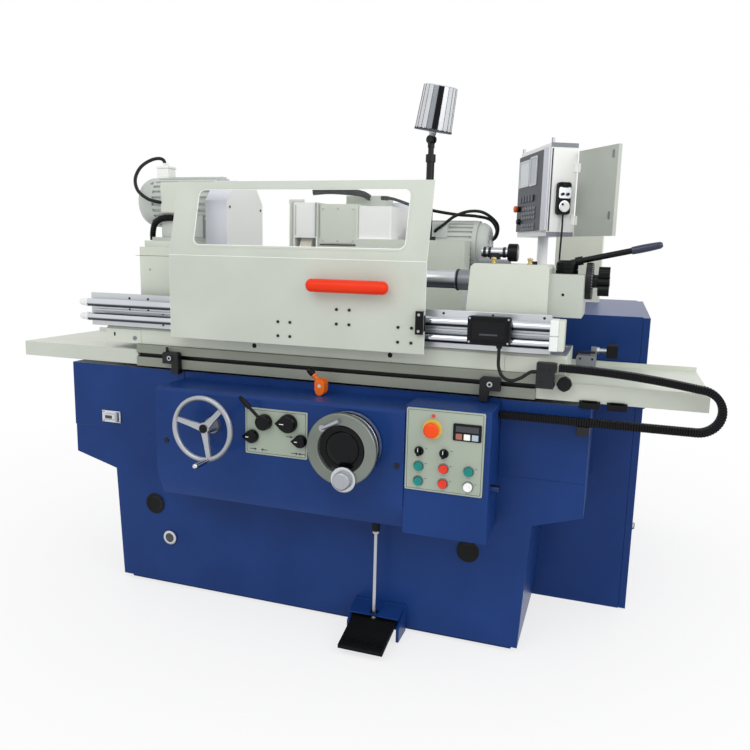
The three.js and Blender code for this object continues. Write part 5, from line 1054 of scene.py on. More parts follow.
def makePanel(look):
    skin("control_box", "blueEnamel", "machine", 0.003, look["glands"])
    front, back = look["front"], look["back"]
    plate = Form("panel_face", "machine", ("control_plate",), "darkPanel")
    outline = roundedBox(look["across"], look["rise"], look["corner"])
    plate.add(prism("y", outline, (front, back), 0.0008), "platePrint")
    inset = [roundedBox((look["across"][0] + d, look["across"][1] - d),
        (look["rise"][0] + d, look["rise"][1] - d), 0.004) for d in (0.0045, 0.0056)]
    plate.add(ringFrame(inset[0], inset[1], (front - 0.0003, front + 0.0004), 0))
    (left, right), (low, high) = look["display"]
    plate.add(prism("y", roundedBox((left, right), (low, high), 0.004), (front - 0.003, front + 0.001),
        0.0008), "blackNylon")
    plate.add(block((left + 0.008, front - 0.0034, low + 0.026),
        (right - 0.008, front - 0.0028, high - 0.007), 0.0002), "screenGlass")
    step = (right - left - 0.012) / len(look["keys"])
    for i, finish in enumerate(look["keys"]):
        x = left + 0.006 + step * i
        plate.add(block((x + 0.0025, front - 0.0052, low + 0.004),
            (x + step - 0.0025, front - 0.0028, low + 0.021), 0.0012), finish)
    stopX, stopZ = look["stop"]
    plate.add(lathed("y", (stopX, front, stopZ),
        [(0.0005, 0.0108), (0.0005, 0.0285), (-0.0016, 0.0285), (-0.0022, 0.0272), (-0.0022, 0.013),
        (-0.006, 0.0125), (-0.006, 0.0108)], 0.0004, 1, 64), "warningYellow")
    lampX, lampZ = look["lamp"]
    plate.add(rod("y", (lampX - 0.001, front, lampZ), (-0.004, 0.0005), 0.005, 0.001), "signalRed")
    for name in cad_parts:
        if not name.endswith("_selector") and "_button" not in name:
            continue
        x, _, z = centreOf(name)
        plate.add(block((x - 0.006, front - 0.0004, z - 0.0212), (x + 0.006, front + 0.0003, z - 0.0202), 0),
            "keyGrey")
        plate.add(block((x + 0.018, front - 0.0004, z + 0.008), (x + 0.025, front + 0.0003, z + 0.0092), 0))
        if "_button" in name:
            plate.add(turned("y", (x, front, z), [
                (-0.003, look["cap"] + 0.0007), (-0.004, look["cap"] + 0.0014),
                (-0.0036, look["ring"] - 0.0006), (-0.002, look["ring"]), (0.0002, look["ring"]),
                (0.0002, look["cap"] + 0.0007)], 48), "castSteel")
    plate.done()
    spots = [(x, front - 0.0006, z) for x, z in corners(look["across"], look["rise"], 0.01)]
    screws("panel_screws", spots, "machine", "groundSteel", 0.0032, 0.0014)
    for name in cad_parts:
        if "_button" in name:
            makeButton(name, look)
        if name.endswith("_selector"):
            makeSelector(name, look)
    makeStopButton(look)


def makeButton(name, look):
    # A lit cap with a shallow dish, its skirt inside the chrome bezel
    x, _, z = centreOf(name)
    front, radius = look["front"] - 0.012, look["cap"]
    cap = Form(name + "_cap", name, (name,))
    profile = [(look["front"] + 0.006, 0), (look["front"] + 0.006, radius), (front + 0.0016, radius),
        (front, radius - 0.0016), (front, radius - 0.0032), (front + 0.0014, radius * 0.45),
        (front + 0.0016, 0)]
    cap.add(lathed("y", (x, 0, z), profile, 0.001, 3), look["caps"][name.split("_")[0]])
    cap.done()


def makeSelector(name, look):
    x, _, z = centreOf(name)
    front = look["front"]
    knob = Form(name + "_knob", name, (name,), "blackPhenolic")
    knob.add(lathed("y", (x, front, z), [(-0.0003, 0), (-0.0003, 0.0139), (-0.0048, 0.0136),
        (-0.0054, 0.0125), (-0.0054, 0)], 0.0006))
    knob.add(block((x - 0.0044, front - 0.0178, z - 0.0125), (x + 0.0044, front - 0.0046, z + 0.0125),
        0.0016, 3))
    knob.add(block((x - 0.0009, front - 0.0182, z + 0.001), (x + 0.0009, front - 0.0174, z + 0.0112),
        0.0002), "whiteAbs")
    knob.done()


def makeStopButton(look):
    x, z = look["stop"]
    front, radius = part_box("emergency_stop")[0][1], look["stopRadius"]
    head = Form("stop_head", "emergency_stop", ("emergency_stop",))
    head.add(lathed("y", (x, 0, z), [(look["front"] - 0.0054, 0), (look["front"] - 0.0054, 0.0096),
        (front + 0.0155, 0.0098), (front + 0.014, radius - 0.001), (front + 0.01, radius),
        (front + 0.0035, radius * 0.93), (front + 0.0006, radius * 0.66), (front, 0)], 0.0014, 3, 64),
        "stopOrange")
    head.done()
    arrows = [math.radians(20 + 120 * i) for i in range(3)]
    slats("stop_arrows", [(x + 0.0125 * math.cos(a), front + 0.0012, z + 0.0125 * math.sin(a))
        for a in arrows], [(-math.sin(a), 0.0, math.cos(a)) for a in arrows], (0.0012, 0.0012, 0.0085),
        "emergency_stop", "whiteAbs")


makePanel(panelLook)
print("panel made")


# Foot pedal under its hood, and the spring rod that carries its push up into the apron

pedalLook = {
    "x": 0.276, "pivot": (-0.288, 0.052), "ribs": 13, "gap": 0.0135, "sheet": 0.005, "sleeveTop": 0.408,
}


def makePedal(look):
    skin("pedal_bracket", "blueEnamel", "machine", 0.0016)
    low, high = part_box("pedal_bracket")
    places = [(low[0] - 0.0006, low[1] + 0.03, z) for z in (0.034, 0.074)]
    screws("pedal_pivots", places, "machine", "groundSteel", 0.0062, 0.003, facing=(-1, 0, 0))
    hood = Form("pedal_hood", "machine")
    top, front = high[2], low[1]
    x, y, _ = centreOf("pedal_rod")
    gap, sheet = look["gap"], look["sheet"]
    rear, tip = (-0.2405, top), (front + 0.002, top - 0.012)
    # a plate on each side of the rod, one behind it and one before it
    for span, (y0, z0), (y1, z1), bevel in (
            ((low[0] + 0.004, x - gap), rear, tip, 0.001), ((x + gap, high[0] - 0.004), rear, tip, 0.001),
            ((x - gap - 0.001, x + gap + 0.001), rear, (y + gap, top - 0.0025), 0.0006),
            ((x - gap - 0.001, x + gap + 0.001), (y - gap, top - 0.0065), tip, 0.0006)):
        hood.add(prism("x", [(y0, z0), (y0, z0 - sheet), (y1, z1 - sheet), (y1, z1)], span, bevel),
            "blueEnamel")
    hood.done()
    skin("foot_pedal", "ribbedRubber", "foot_pedal", 0.0018)
    low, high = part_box("foot_pedal")
    # The pad runs down from the hub to its tip; ribs lie across its upper face
    pivotY, pivotZ = look["pivot"]
    tipY, tipZ = low[1], low[2]
    slope = Vector((0, tipY - (pivotY - 0.012), (tipZ + 0.012) - (pivotZ + 0.004))).normalized()
    up = Vector((0, slope.z, -slope.y))
    start = Vector((look["x"], pivotY - 0.02, pivotZ + 0.004))
    places = [start + slope * (0.008 + 0.0098 * i) + up * 0.003 for i in range(look["ribs"])]
    slats("pedal_ribs", places, [up] * len(places), (0.134, 0.0042, 0.0034), "foot_pedal", "ribbedRubber")
    skin("pedal_rod", "groundSteel", "pedal_rod", 0.0006)
    sleeve = Form("rod_sleeve", "pedal_rod")
    top = look["sleeveTop"]
    sleeve.add(lathed("z", (x, y, top), [(-0.046, 0), (-0.046, 0.0108), (-0.035, 0.0122), (-0.004, 0.0122),
        (0, 0.01), (0, 0)], 0.0016, 2, 32), "blackNylon")
    sleeve.done()


makePedal(pedalLook)


# Guard rails, the interlock and the sliding guard

railLook = {
    "plate": ((-0.85, -0.238, 0.9579), (0.772, -0.222, 1.0739)), "rods": (1.0409, 0.9909), "rodY": -0.264,
    "rodSpan": (-0.838, 0.792), "radius": 0.014, "capTo": -0.873, "end": ((0.771, -0.286), (0.812, -0.222)),
    "screwsAt": [(-0.686, 1.059), (-0.686, 1.019), (-0.609, 1.059), (-0.609, 1.019), (-0.549, 1.011),
        (-0.549, 0.972)],
}


def makeRails(look):
    (x0, y0, z0), (x1, y1, z1) = look["plate"]
    rails = Form("guard_rails", "swivel_table", ("slide_rails",), "satinAluminium")
    rails.add(block((x0, y0, z0), (x1, y1, z1), 0.0014))
    rails.add(block((x0 + 0.004, y0 - 0.005, z0 + 0.052), (x1, y0 + 0.001, z0 + 0.06), 0.0012))
    for z in look["rods"]:
        rails.add(rod("x", (0, look["rodY"], z), look["rodSpan"], look["radius"], 0.0016, 48), "hardChrome")
        rails.add(block((x0, look["rodY"] + 0.004, z - 0.006), (x1, y0 + 0.001, z + 0.006), 0.0006),
            "castSteel")
        start, end = look["capTo"], look["rodSpan"][0]
        rails.add(lathed("x", (0, look["rodY"], z),
            [(start, 0), (start, 0.009), (start + 0.008, 0.0118), (end - 0.01, 0.0118), (end - 0.009, 0.015),
            (end + 0.001, 0.015), (end + 0.001, 0)], 0.0022, 3, 40), "milkyNylon")
    (left, front), (right, back) = look["end"]
    for low, high in ((0.9739, 1.0165), (1.0175, 1.0639)):
        rails.add(block((left, front, low), (left + 0.024, back, high), 0.0028, 3), "milkyNylon")
    rails.add(block((left + 0.0235, front + 0.006, 0.9745), (right, back, 1.0632), 0.002), "creamEnamel")
    rails.done()
    screws("rail_screws", [(x, y0 + 0.0014, z) for x, z in look["screwsAt"]], "swivel_table", "blackOxide",
        0.009, 0.0024)
    steps = [(x0 + 0.1 + 0.15 * i, y0 + 0.0014, z0 + 0.106) for i in range(11)]
    screws("rail_row", steps[2:], "swivel_table", "blackOxide", 0.008, 0.0024)


interlockLook = {"corner": 0.007, "lid": (0.008, 0.014), "gland": (0.094, -0.296), "glandRadius": 0.0085}


def makeInterlock(look):
    low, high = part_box("interlock_block")
    box = Form("interlock_case", "swivel_table", ("interlock_block",), "blackNylon")
    box.add(prism("y", roundedBox((low[0], high[0]), (low[2], high[2]), look["corner"]),
        (low[1] + 0.004, high[1]), 0.0016))
    lid = [roundedBox((low[0] + d, high[0] - d), (low[2] + d, high[2] - d), 0.011 - d / 2)
        for d in look["lid"]]
    box.add(prism("y", lid[0], (low[1] + 0.0012, low[1] + 0.005), 0.0014))
    box.add(ringFrame(lid[0], lid[1], (low[1], low[1] + 0.002), 0.0005), "blackPhenolic")
    box.add(block((low[0] + 0.036, low[1] + 0.0004, low[2] + 0.026),
        (high[0] - 0.036, low[1] + 0.0016, low[2] + 0.031), 0.0004), "darkPanel")
    x, y = look["gland"]
    box.add(rod("z", (low[0] + x, y, low[2]), (-0.01, 0.002), look["glandRadius"], 0.001, 24))
    box.done()
    spots = [(x, low[1] + 0.0034, z) for x, z in corners((low[0], high[0]), (low[2], high[2]), 0.006)]
    screws("interlock_screws", spots, "swivel_table", "groundSteel", 0.003, 0.002)


guardLook = {
    "front": -0.305, "fold": 1.217, "slope": 0.062 / 0.24, "window": ((-0.388, 0.339), (1.251, 1.431)),
    "corner": 0.022, "handle": (0.038, 0.303), "handleAt": (-0.3393, 1.137), "handleRadius": 0.0205,
    "plates": [(-0.052, 0.993), (0.148, 1.0415), (0.348, 0.9975)], "pitch": (0.021, 0.0225),
    "strike": ((0.383, 1.003), (0.409, 1.072)), "across": (-0.4715, 0.4075), "ends": (-0.4728, 0.4086),
    "regions": [((0.3825, -0.3195, 1.0025), (0.4095, -0.3055, 1.0725), "blackNylon"),
        ((-0.48, -0.3012, 0.96), (0.42, -0.2385, 1.07), "castSteel")],
}


def leaned(shape, look):
    # Follows the guard's upper part, which leans back above the fold
    for vertex in shape.verts:
        vertex.co.y += look["slope"] * max(0, vertex.co.z - look["fold"])
    return shape


def makeGuard(look):
    front = look["front"]
    skin("guard_panel", "guardEnamel", "guard", 0.0008, look["regions"])
    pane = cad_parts["guard_window"]
    for slot in pane.material_slots:
        slot.material = paint["clearPane"]
    (left, right), (low, high) = look["window"]
    lines = [roundedBox((left - d, right + d), (low - d, high + d), look["corner"] + d, 8)
        for d in (0.006, 0.0008)]
    trim = Form("window_trim", "guard")
    trim.add(leaned(ringFrame(lines[0], lines[1], (front - 0.0012, front + 0.0004), 0.0003), look),
        "guardEnamel")
    trim.add(leaned(ringFrame(roundedBox((left, right), (low, high), look["corner"], 8),
        roundedBox((left + 0.0022, right - 0.0022), (low + 0.0022, high - 0.0022), look["corner"] - 0.002,
        8), (front + 0.0002, front + 0.0028), 0.0002), look), "whiteAbs")
    trim.done()
    # painted highlights: white strips along the guard's fold and on its two return edges stand in for light
    # caught on the bends
    edge = Form("guard_edges", "guard", (), "whiteAbs")
    left, right = look["across"]
    edge.add(block((left, front - 0.0004, look["fold"] - 0.0009),
        (right, front + 0.0004, look["fold"] + 0.0009), 0))
    for x in look["ends"]:
        outline = [(front + 0.0002, 0.944), (front + 0.003, 0.944), (front + 0.003, look["fold"]),
            (front + 0.065, 1.456), (front + 0.0622, 1.456), (front + 0.0002, look["fold"])]
        edge.add(prism("x", outline, (x - 0.0002, x + 0.0006), 0))
    edge.done()
    places = [(x + i * look["pitch"][0], front - 0.0014, z + j * look["pitch"][1]) for x, z in look["plates"]
        for i in (-1, 1) for j in (-1, 1)]
    screws("guard_screws", places, "guard", "blackOxide", 0.0046, 0.0034)
    (x0, z0), (x1, z1) = look["strike"]
    strike = Form("guard_strike", "guard")
    strike.add(block((x0 + 0.004, front - 0.015, z0 + 0.016), (x1 - 0.003, front - 0.0136, z1 - 0.016),
        0.0005), "blackPhenolic")
    strike.add(block((x1 - 0.001, front - 0.012, z0 + 0.01), (x1 + 0.0035, front - 0.002, z1 - 0.012),
        0.0008), "blackNylon")
    strike.done()
    screws("strike_screws", [((x0 + x1) / 2 - 0.002, front - 0.015, z) for z in (z0 + 0.01, z1 - 0.01)],
        "guard", "groundSteel", 0.0042, 0.0022)
    y, z = look["handleAt"]
    start, end = look["handle"]
    radius = look["handleRadius"]
    grip = Form("guard_grip", "guard", ("guard_handle",), "handleOrange")
    rise = [(start + radius * 0.9 * (1 - math.cos(a)), radius * math.sin(a))
        for a in (math.radians(15 * i) for i in range(7))]
    fall = [(end - (x - start), r) for x, r in reversed(rise)]
    profile = rise[:-1] + [(start + 0.02, radius), (start + 0.026, radius - 0.001), (start + 0.032, radius)]
    profile += [(end - 0.032, radius), (end - 0.026, radius - 0.001), (end - 0.02, radius)] + fall[1:]
    grip.add(turned("x", (0, y, z), profile, 48))
    for x in (start + 0.026, end - 0.026):
        grip.add(rod("y", (x, 0, z), (y + 0.004, front - 0.0003), 0.0128, 0.0012, 32))
    grip.done()


makeRails(railLook)
makeInterlock(interlockLook)
makeGuard(guardLook)
print("guard made")


# Workhead with its motor, belt guard and faceplate

headLook = {
    "motor": (-0.06, 1.4), "radius": 0.09, "depth": 0.008, "fins": 26, "body": (-0.662, -0.404),
    "end": -0.722, "cap": 0.087, "front": ((-0.606, 1.358), (-0.47, 1.464)),
    "topPlate": [((-0.645, -0.165, 1.2624), (-0.4, 0.03, 1.2758), "shadeEnamel")],
    # painted light and shade: the belt guard's face toward +x is white and the rest lilac, lit and shaded
    # copies of one paint
    "beltLitFace": [((-0.3212, -0.19, 1.0), (-0.319, 0.07, 1.48), "whiteAbs")],
    "seam": ((-0.6896, -0.1904, 1.2085), (-0.4045, -0.1894, 1.2097)),
    "foot": ((-0.618, -0.135, 1.2753), (-0.448, 0.015, 1.355)),
    "box": ((-0.668, -0.084, 1.462), (-0.62, -0.036, 1.528)), "lid": ((-0.64, -0.47), (1.02, 1.17)),
    "conduit": [(-598, -134, 1396), (-608, -164, 1396), (-640, -182, 1406), (-684, -176, 1436),
        (-714, -146, 1480), (-712, -112, 1524), (-684, -80, 1552), (-654, -64, 1552), (-644, -60, 1518)],
    "hose": [(-651, -140, 1264), (-651, -140, 1290), (-641, -142, 1320), (-614, -146, 1338),
        (-584, -146, 1342), (-560, -134, 1342), (-553, -110, 1346)],
}


def finned(centre, span, count, radius, depth):
    # A motor body: square ribs and grooves of equal width round a cylinder, drawn in (y, z)
    outline = []
    groove = radius - depth
    for i in range(count):
        for offset, reach in ((-0.25, radius), (0, radius + 0.0003), (0.25, radius), (0.29, groove),
                (0.71, groove)):
            angle = turn * (i + offset) / count
            outline.append((centre[0] + reach * math.cos(angle), centre[1] + reach * math.sin(angle)))
    return prism("x", outline, span, 0)


def ribbed(radius, proud, pitch, length):
    return lambda share: radius + proud * math.sin(turn * share * length / pitch)


def makeWorkhead(look):
    skin("workhead_body", "creamEnamel", "workhead", 0.0035, look["topPlate"])
    low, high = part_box("workhead_body")
    bolts = [(low[0] + 0.0045, y, 0.993) for y in (-0.16, -0.06, 0.03)]
    screws("workhead_bolts", bolts, "workhead", "blackOxide", 0.0042, 0.003, facing=(0, 0, 1))
    seam = Form("workhead_seams", "workhead")
    seam.add(block(*look["seam"], 0), "darkPanel")
    across, rise = look["lid"]
    seam.add(prism("y", roundedBox(across, rise, 0.012), (-0.1915, -0.189), 0.0008), "creamEnamel")
    seam.done()
    screws("workhead_lid_screws", [(x, -0.1922, z) for x, z in corners(across, rise, 0.009)], "workhead",
        "groundSteel", 0.0036, 0.0018)
    centre, (left, right) = look["motor"], look["body"]
    cy, cz = centre
    motor = Form("workhead_drive", "workhead", ("workhead_motor",), "motorPaint")
    motor.add(finned(centre, (left + 0.01, right - 0.0004), look["fins"], look["radius"], look["depth"]))
    motor.add(rod("x", (left, cy, cz), (-0.002, 0.014), look["radius"] - 0.0006, 0.0012, 72))
    motor.add(lathed("x", (0, cy, cz), [(look["end"], 0), (look["end"], look["cap"] * 0.5),
        (look["end"] + 0.009, look["cap"] * 0.87), (look["end"] + 0.03, look["cap"]), (left, look["cap"]),
        (left, 0)], 0.006, 4, 72))
    for i in range(12):
        # Slots in the fan cowl, as dark blocks: painted shade in the openings
        angle = turn * i / 12
        slot = block((look["end"] - 0.0004, -0.003, 0.018), (look["end"] + 0.001, 0.003, 0.038), 0.0004)
        motor.add(moved(spun(slot, "x", math.degrees(angle)), Matrix.Translation((0, cy, cz))), "darkPanel")
    motor.add(block(*look["foot"], 0.003))
    (x0, z0), (x1, z1) = look["front"]
    motor.add(block((x0, cy - 0.096, z0), (x1, cy - 0.03, z1), 0.004, 3), "creamEnamel")
    motor.add(block((x0 + 0.004, cy - 0.0985, z0 + 0.004), (x1 - 0.004, cy - 0.095, z1 - 0.004), 0.0016),
        "creamEnamel")
    (x0, y0, z0), (x1, y1, z1) = look["box"]
    motor.add(block((x0, y0, z0), (x1, y1, z1 - 0.008), 0.003), "whiteAbs")
    motor.add(block((x0 - 0.002, y0 - 0.002, z1 - 0.008), (x1 + 0.002, y1 + 0.002, z1), 0.002), "whiteAbs")
    motor.add(rod("z", ((x0 + x1) / 2, (y0 + y1) / 2, z1), (-0.001, 0.012), 0.0105, 0.0015, 6), "milkyNylon")
    motor.add(pipe(metres(look["conduit"]), 0.006, 20, 14), "cordRubber")
    hose = metres(look["hose"])
    length = sum((Vector(b) - Vector(a)).length for a, b in zip(hose, hose[1:]))
    motor.add(pipe(hose, ribbed(0.0102, 0.001, 0.0052, length), 18, 26), "blackNylon")
    motor.done()
    ties = spread("x", (left + 0.003, cy, cz), look["radius"], 8)[0][1::2]
    screws("motor_ties", ties, "workhead", "groundSteel", 0.005, 0.006, facing=(-1, 0, 0))
    skin("workhead_belt_guard", "lilacEnamel", "workhead", 0.0025, look["beltLitFace"])
    skin("workhead_faceplate", "groundSteel", "faceplate", 0.001)
    low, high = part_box("workhead_belt_guard")
    screws("belt_guard_screws", [(high[0] + 0.0004, y, z) for y in (-0.172, 0.048) for z in (1.03, 1.38)],
        "workhead", "blackOxide", 0.0045, 0.0026, facing=(1, 0, 0))


makeWorkhead(headLook)
print("workhead made")


# Tailstock: casting, quill, lever, star knob and the dresser on top

tailLook = {
    "cups": [(0.585, -0.185), (0.693, -0.185)], "top": 1.216, "hub": (0.792, -0.06, 1.19), "rise": 13,
    "knob": (0.85, -0.06, 1.17), "lobes": 8, "dresser": (-0.056, 1.2503), "pin": (0.793, 1.131),
    "nose": (-0.06, 1.16), "noseRings": (0.449, 0.5), "dresserX": 0.522,
    "strip": ((0.5025, -0.2005, 0.9579), (0.7515, -0.199, 0.9705)), "frontNut": (0.6, -0.199, 1.003),
    "topNut": (0.7, -0.14, 1.216),
    "regions": [((0.7515, -0.181, 1.06), (0.852, 0.03, 1.2), "shadeEnamel"),
        ((0.44, -0.1, 1.12), (0.5095, -0.02, 1.2), "castSteel")],
}


def makeTailstock(look):
    skin("tailstock_body", "creamEnamel", "tailstock", 0.0035, look["regions"])
    skin("tailstock_quill", "satinAluminium", "quill", 0.0008)
    trim = Form("tailstock_trim", "tailstock", (), "blackOxide")
    for x, y in look["cups"]:
        trim.add(lathed("z", (x, y, look["top"]),
            [(0, 0), (0, 0.0078), (0.004, 0.0078), (0.004, 0.0058), (0.012, 0.0058), (0.013, 0.0084),
            (0.018, 0.008), (0.02, 0)], 0.0008, 2, 32), "oiledBrass")
    x, z = look["pin"]
    trim.add(turned("y", (x, 0, z), [(-0.1806, 0), (-0.1806, 0.0042), (-0.179, 0.0042), (-0.179, 0)], 24),
        "blackNylon")
    trim.add(block(*look["strip"], 0.0006), "shadeEnamel")
    trim.add(rod("y", look["frontNut"], (-0.007, 0), 0.0105, 0.0012, 6))
    trim.add(rod("z", look["topNut"], (-0.001, 0.01), 0.0095, 0.0012, 6))
    y, z = look["nose"]
    for x in look["noseRings"]:
        trim.add(lathed("x", (x, y, z), [(0, 0.031), (0, 0.035), (0.007, 0.035), (0.007, 0.031)], sides=56))
    trim.done()
    makeQuillLever(look)
    makeStarKnob(look)
    makeDresser(look)


def makeQuillLever(look):
    x, y, z = look["hub"]
    lever = Form("quill_lever_body", "quill_lever", ("tailstock_lever",), "blackPhenolic")
    z += 0.0003
    lever.add(lathed("z", (x, y, z), [(0, 0), (0, 0.034), (0.012, 0.034), (0.0125, 0.0322), (0.0145, 0.0322),
        (0.015, 0.034), (0.033, 0.0335), (0.041, 0.027), (0.0415, 0)], 0.0012, 2, 56))
    slope = math.tan(math.radians(look["rise"]))
    at = lambda reach: Vector((x + reach, y, z + 0.0315 + reach * slope))
    lever.add(pipe([at(0.01), at(0.188)], 0.009, 28, 0))
    lever.add(pipe([at(0.024), at(0.046)], 0.0135, 28, 0))
    grip = lambda share: 0.0098 + 0.0024 * math.sin(math.pi * min(1.0, 0.22 + share * 0.76)) - 0.004 * max(
        0, share - 0.93) / 0.07
    lever.add(pipe([at(0.184 + 0.085 * i / 14) for i in range(15)], grip, 28, 0), "navyGrip")
    lever.done()


def makeStarKnob(look):
    x, y, z = look["knob"]
    knob = Form("star_knob", "quill_knob", ("tailstock_knob",))
    knob.add(lathed("x", (x, y, z), [(0.0003, 0), (0.0003, 0.056), (0.0205, 0.056), (0.022, 0.0545),
        (0.022, 0.02), (0.037, 0.02), (0.037, 0)], 0.0014, 2, 72), "blackOxide")
    outline = lobed((y, z), 0.04, [(look["lobes"], 0.0052, 0), (2 * look["lobes"], -0.0008, 0)], 96)
    knob.add(prism("x", outline, (x + 0.0362, x + 0.0696), 0.005, 4), "blackPhenolic")
    knob.add(rod("x", (x, y, z), (0.0685, 0.071), 0.015, 0.001, 40), "groundSteel")
    knob.done()
    places, ways = spread("x", (x + 0.0195, y, z), 0.056, 40)
    slats("flange_marks", places, ways, (0.004, 0.0007, 0.0004), "quill_knob", "whiteAbs")


def makeDresser(look):
    low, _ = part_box("wheel_dresser")
    y, z = look["dresser"]
    tool = Form("dresser_slide", "tailstock", ("wheel_dresser",), "groundSteel")
    x, base = look["dresserX"], low[2]
    tool.add(block((x, low[1], base), (x + 0.092, -0.02, base + 0.012), 0.002), "castSteel")
    tool.add(block((x + 0.031, y - 0.015, base + 0.011), (x + 0.061, y + 0.015, z), 0.002), "blackOxide")
    tool.add(rod("x", (x, y, z), (0.002, 0.088), 0.015, 0.0014, 40))
    for start in (0.008, 0.024, 0.07):
        tool.add(rod("x", (x, y, z), (start, start + 0.009), 0.0168, 0.0012, 40), "blackOxide")
    tool.add(rod("x", (x, y, z), (0.086, 0.117), 0.0268, 0.0022, 56), "blackPhenolic")
    tool.add(rod("x", (x, y, z), (0.1165, 0.118), 0.012, 0.0006, 32))
    tool.add(rod("y", (x + 0.015, y, z), (0, 0.03), 0.0048, 0.0008, 24))
    tool.done()
    places, ways = spread("x", (x + 0.1015, y, z), 0.0267, 30)
    slats("dresser_ribs", places, ways, (0.025, 0.0028, 0.0022), "tailstock", "blackPhenolic")


makeTailstock(tailLook)
print("tailstock made")


# Wheelhead on its cross slide, with wheel, guard, motor and hoses

wheelheadLook = {
    "panel": ((-0.18, -0.038), (1.272, 1.41)), "motor": (0.5, 1.272), "radius": 0.1, "depth": 0.008,
    "fins": 28, "body": (0.1503, 0.411), "end": 0.455,
    "foot": ((0.18, 0.425, 1.1503), (0.381, 0.575, 1.222)),
    "box": ((0.215, 0.404, 1.3), (0.3, 0.452, 1.358)),
    "flange": [((-0.4, 0.2, 0.9), (-0.2716, 0.8, 1.4), "groundSteel")],
    # painted light: the wheel guard's front face is white against its cream, a lit copy of the same paint
    "guardLitFront": [((-0.3, 0.27, 1.0), (-0.19, 0.2765, 1.45), "whiteAbs")],
    "strip": ((-0.286, 0.2735, 1.3), (-0.281, 0.277, 1.418)), "hinge": (-0.196, 0.2725, 1.295),
    "regions": [((-0.27, 0.335, 1.44), (-0.02, 0.4695, 1.5), "blackNylon"),
        ((-0.012, 0.57, 1.1), (0.116, 0.71, 1.46), "lilacEnamel"),
        ((-0.191, 0.289, 1.291), (-0.027, 0.291, 1.43), "creamEnamel"),
        # painted light: the right box takes white, standing in for its brightly lit sides
        ((-0.026, 0.29, 1.27), (0.108, 0.57, 1.42), "whiteAbs"),
        ((-0.146, 0.46, 1.4), (0.031, 0.558, 1.468), "shadeEnamel")],
    "hoses": [[(34, 398, 1452), (80, 402, 1448), (150, 410, 1426), (241, 420, 1405), (330, 440, 1392),
        (400, 470, 1388), (446, 530, 1376), (462, 590, 1336), (446, 580, 1296), (430, 556, 1290)],
        [(250, 436, 1312), (254, 404, 1328), (286, 402, 1352), (326, 410, 1384), (380, 424, 1404),
        (432, 460, 1400), (474, 520, 1360), (466, 548, 1310), (430, 530, 1290)]],
}


def makeWheelhead(look):
    skin("cross_slide", "shadeEnamel", "machine", 0.003)
    skin("wheelhead_body", "creamEnamel", "wheelhead", 0.004, look["regions"])
    (left, right), (low, high) = look["panel"]
    door = Form("wheelhead_door", "wheelhead")
    door.add(prism("y", roundedBox((left, right), (low, high), 0.006), (0.2872, 0.2905), 0.0009),
        "creamEnamel")
    # painted shadow: a black strip just under the door panel stands in for the shadow below it
    door.add(block((left - 0.004, 0.2862, low - 0.01), (right + 0.004, 0.2902, low - 0.004), 0.0008),
        "blackNylon")
    door.done()
    spots = [(x, 0.2868, z) for x in (left + 0.008, (left + right) / 2, right - 0.008)
        for z in (low + 0.008, high - 0.008)]
    screws("wheelhead_door_screws", spots, "wheelhead", "groundSteel", 0.0036, 0.0016)
    cy, cz = look["motor"]
    first, last = look["body"]
    motor = Form("wheelhead_drive", "wheelhead", ("wheelhead_motor",), "motorPaint")
    motor.add(finned((cy, cz), (first, last - 0.012), look["fins"], look["radius"], look["depth"]))
    motor.add(rod("x", (last, cy, cz), (-0.016, 0.002), look["radius"] - 0.0006, 0.0012, 72))
    motor.add(lathed("x", (0, cy, cz), [(last, 0), (last, 0.092), (last + 0.022, 0.092),
        (look["end"], 0.075), (look["end"], 0)], 0.008, 4, 72))
    motor.add(block(*look["foot"], 0.003))
    motor.add(block(*look["box"], 0.004))
    for route in look["hoses"]:
        motor.add(pipe(metres(route), 0.006, 16, 10), "cordRubber")
    start = Vector(look["hoses"][0][0]) * mm
    motor.add(pipe([start - Vector((0.004, 0, 0)), start + Vector((0.026, 0.003, -0.002))], 0.0085, 6, 0),
        "blackNylon")
    motor.done()
    # dark bars on the motor's end stand in for its vent openings: painted shade
    places, ways = spread("x", (look["end"] - 0.0016, cy, cz), 0.045, 16)
    slats("motor_vents", places, ways, (0.004, 0.005, 0.034), "wheelhead", "darkPanel")
    skin("grinding_wheel", "bondedStone", "wheel", 0.001, look["flange"])
    skin("wheel_guard", "creamEnamel", "wheelhead", 0.003, look["guardLitFront"])
    hinge = Form("wheel_guard_trim", "wheelhead")
    hinge.add(block(*look["strip"], 0.0008), "shadeEnamel")
    hinge.add(rod("z", look["hinge"], (0, 0.13), 0.003, 0.0006, 20), "castSteel")
    hinge.done()


makeWheelhead(wheelheadLook)
print("wheelhead made")


# Lamp: post with a collar and a ribbed shade that leans on its pivot

lampLook = {
    "foot": (0.241, 0.34, 1.29), "pivot": 1.66, "yaw": 63.4, "lean": 11.2, "base": 0.029, "length": 0.16,
    "low": 0.068, "top": 0.061, "facets": 20, "proud": 0.0014, "black": 12, "grey": 11,
}


def lampFrame(look):
    x, y, _ = look["foot"]
    place = Matrix.Translation((x, y, look["pivot"]))
    return place @ Matrix.Rotation(math.radians(look["yaw"]), 4, "Z") @ Matrix.Rotation(
        math.radians(look["lean"]), 4, "X")


def facetStrip(look, index, line):
    # A lengthwise strip of the shade, drawn through (share of a facet, height over its plain)
    shape = bmesh.new()
    step = turn / look["facets"]
    rows = []
    for share in (0.035, 0.985):
        radius = look["low"] + (look["top"] - look["low"]) * share
        z = look["base"] + look["length"] * share
        angles = [(step * (index + offset), radius + proud) for offset, proud in line]
        rows.append([shape.verts.new((reach * math.cos(a), reach * math.sin(a), z)) for a, reach in angles])
    for first, second, third, fourth in zip(rows[0], rows[0][1:], rows[1][1:], rows[1]):
        shape.faces.new((first, second, third, fourth))
    return shape


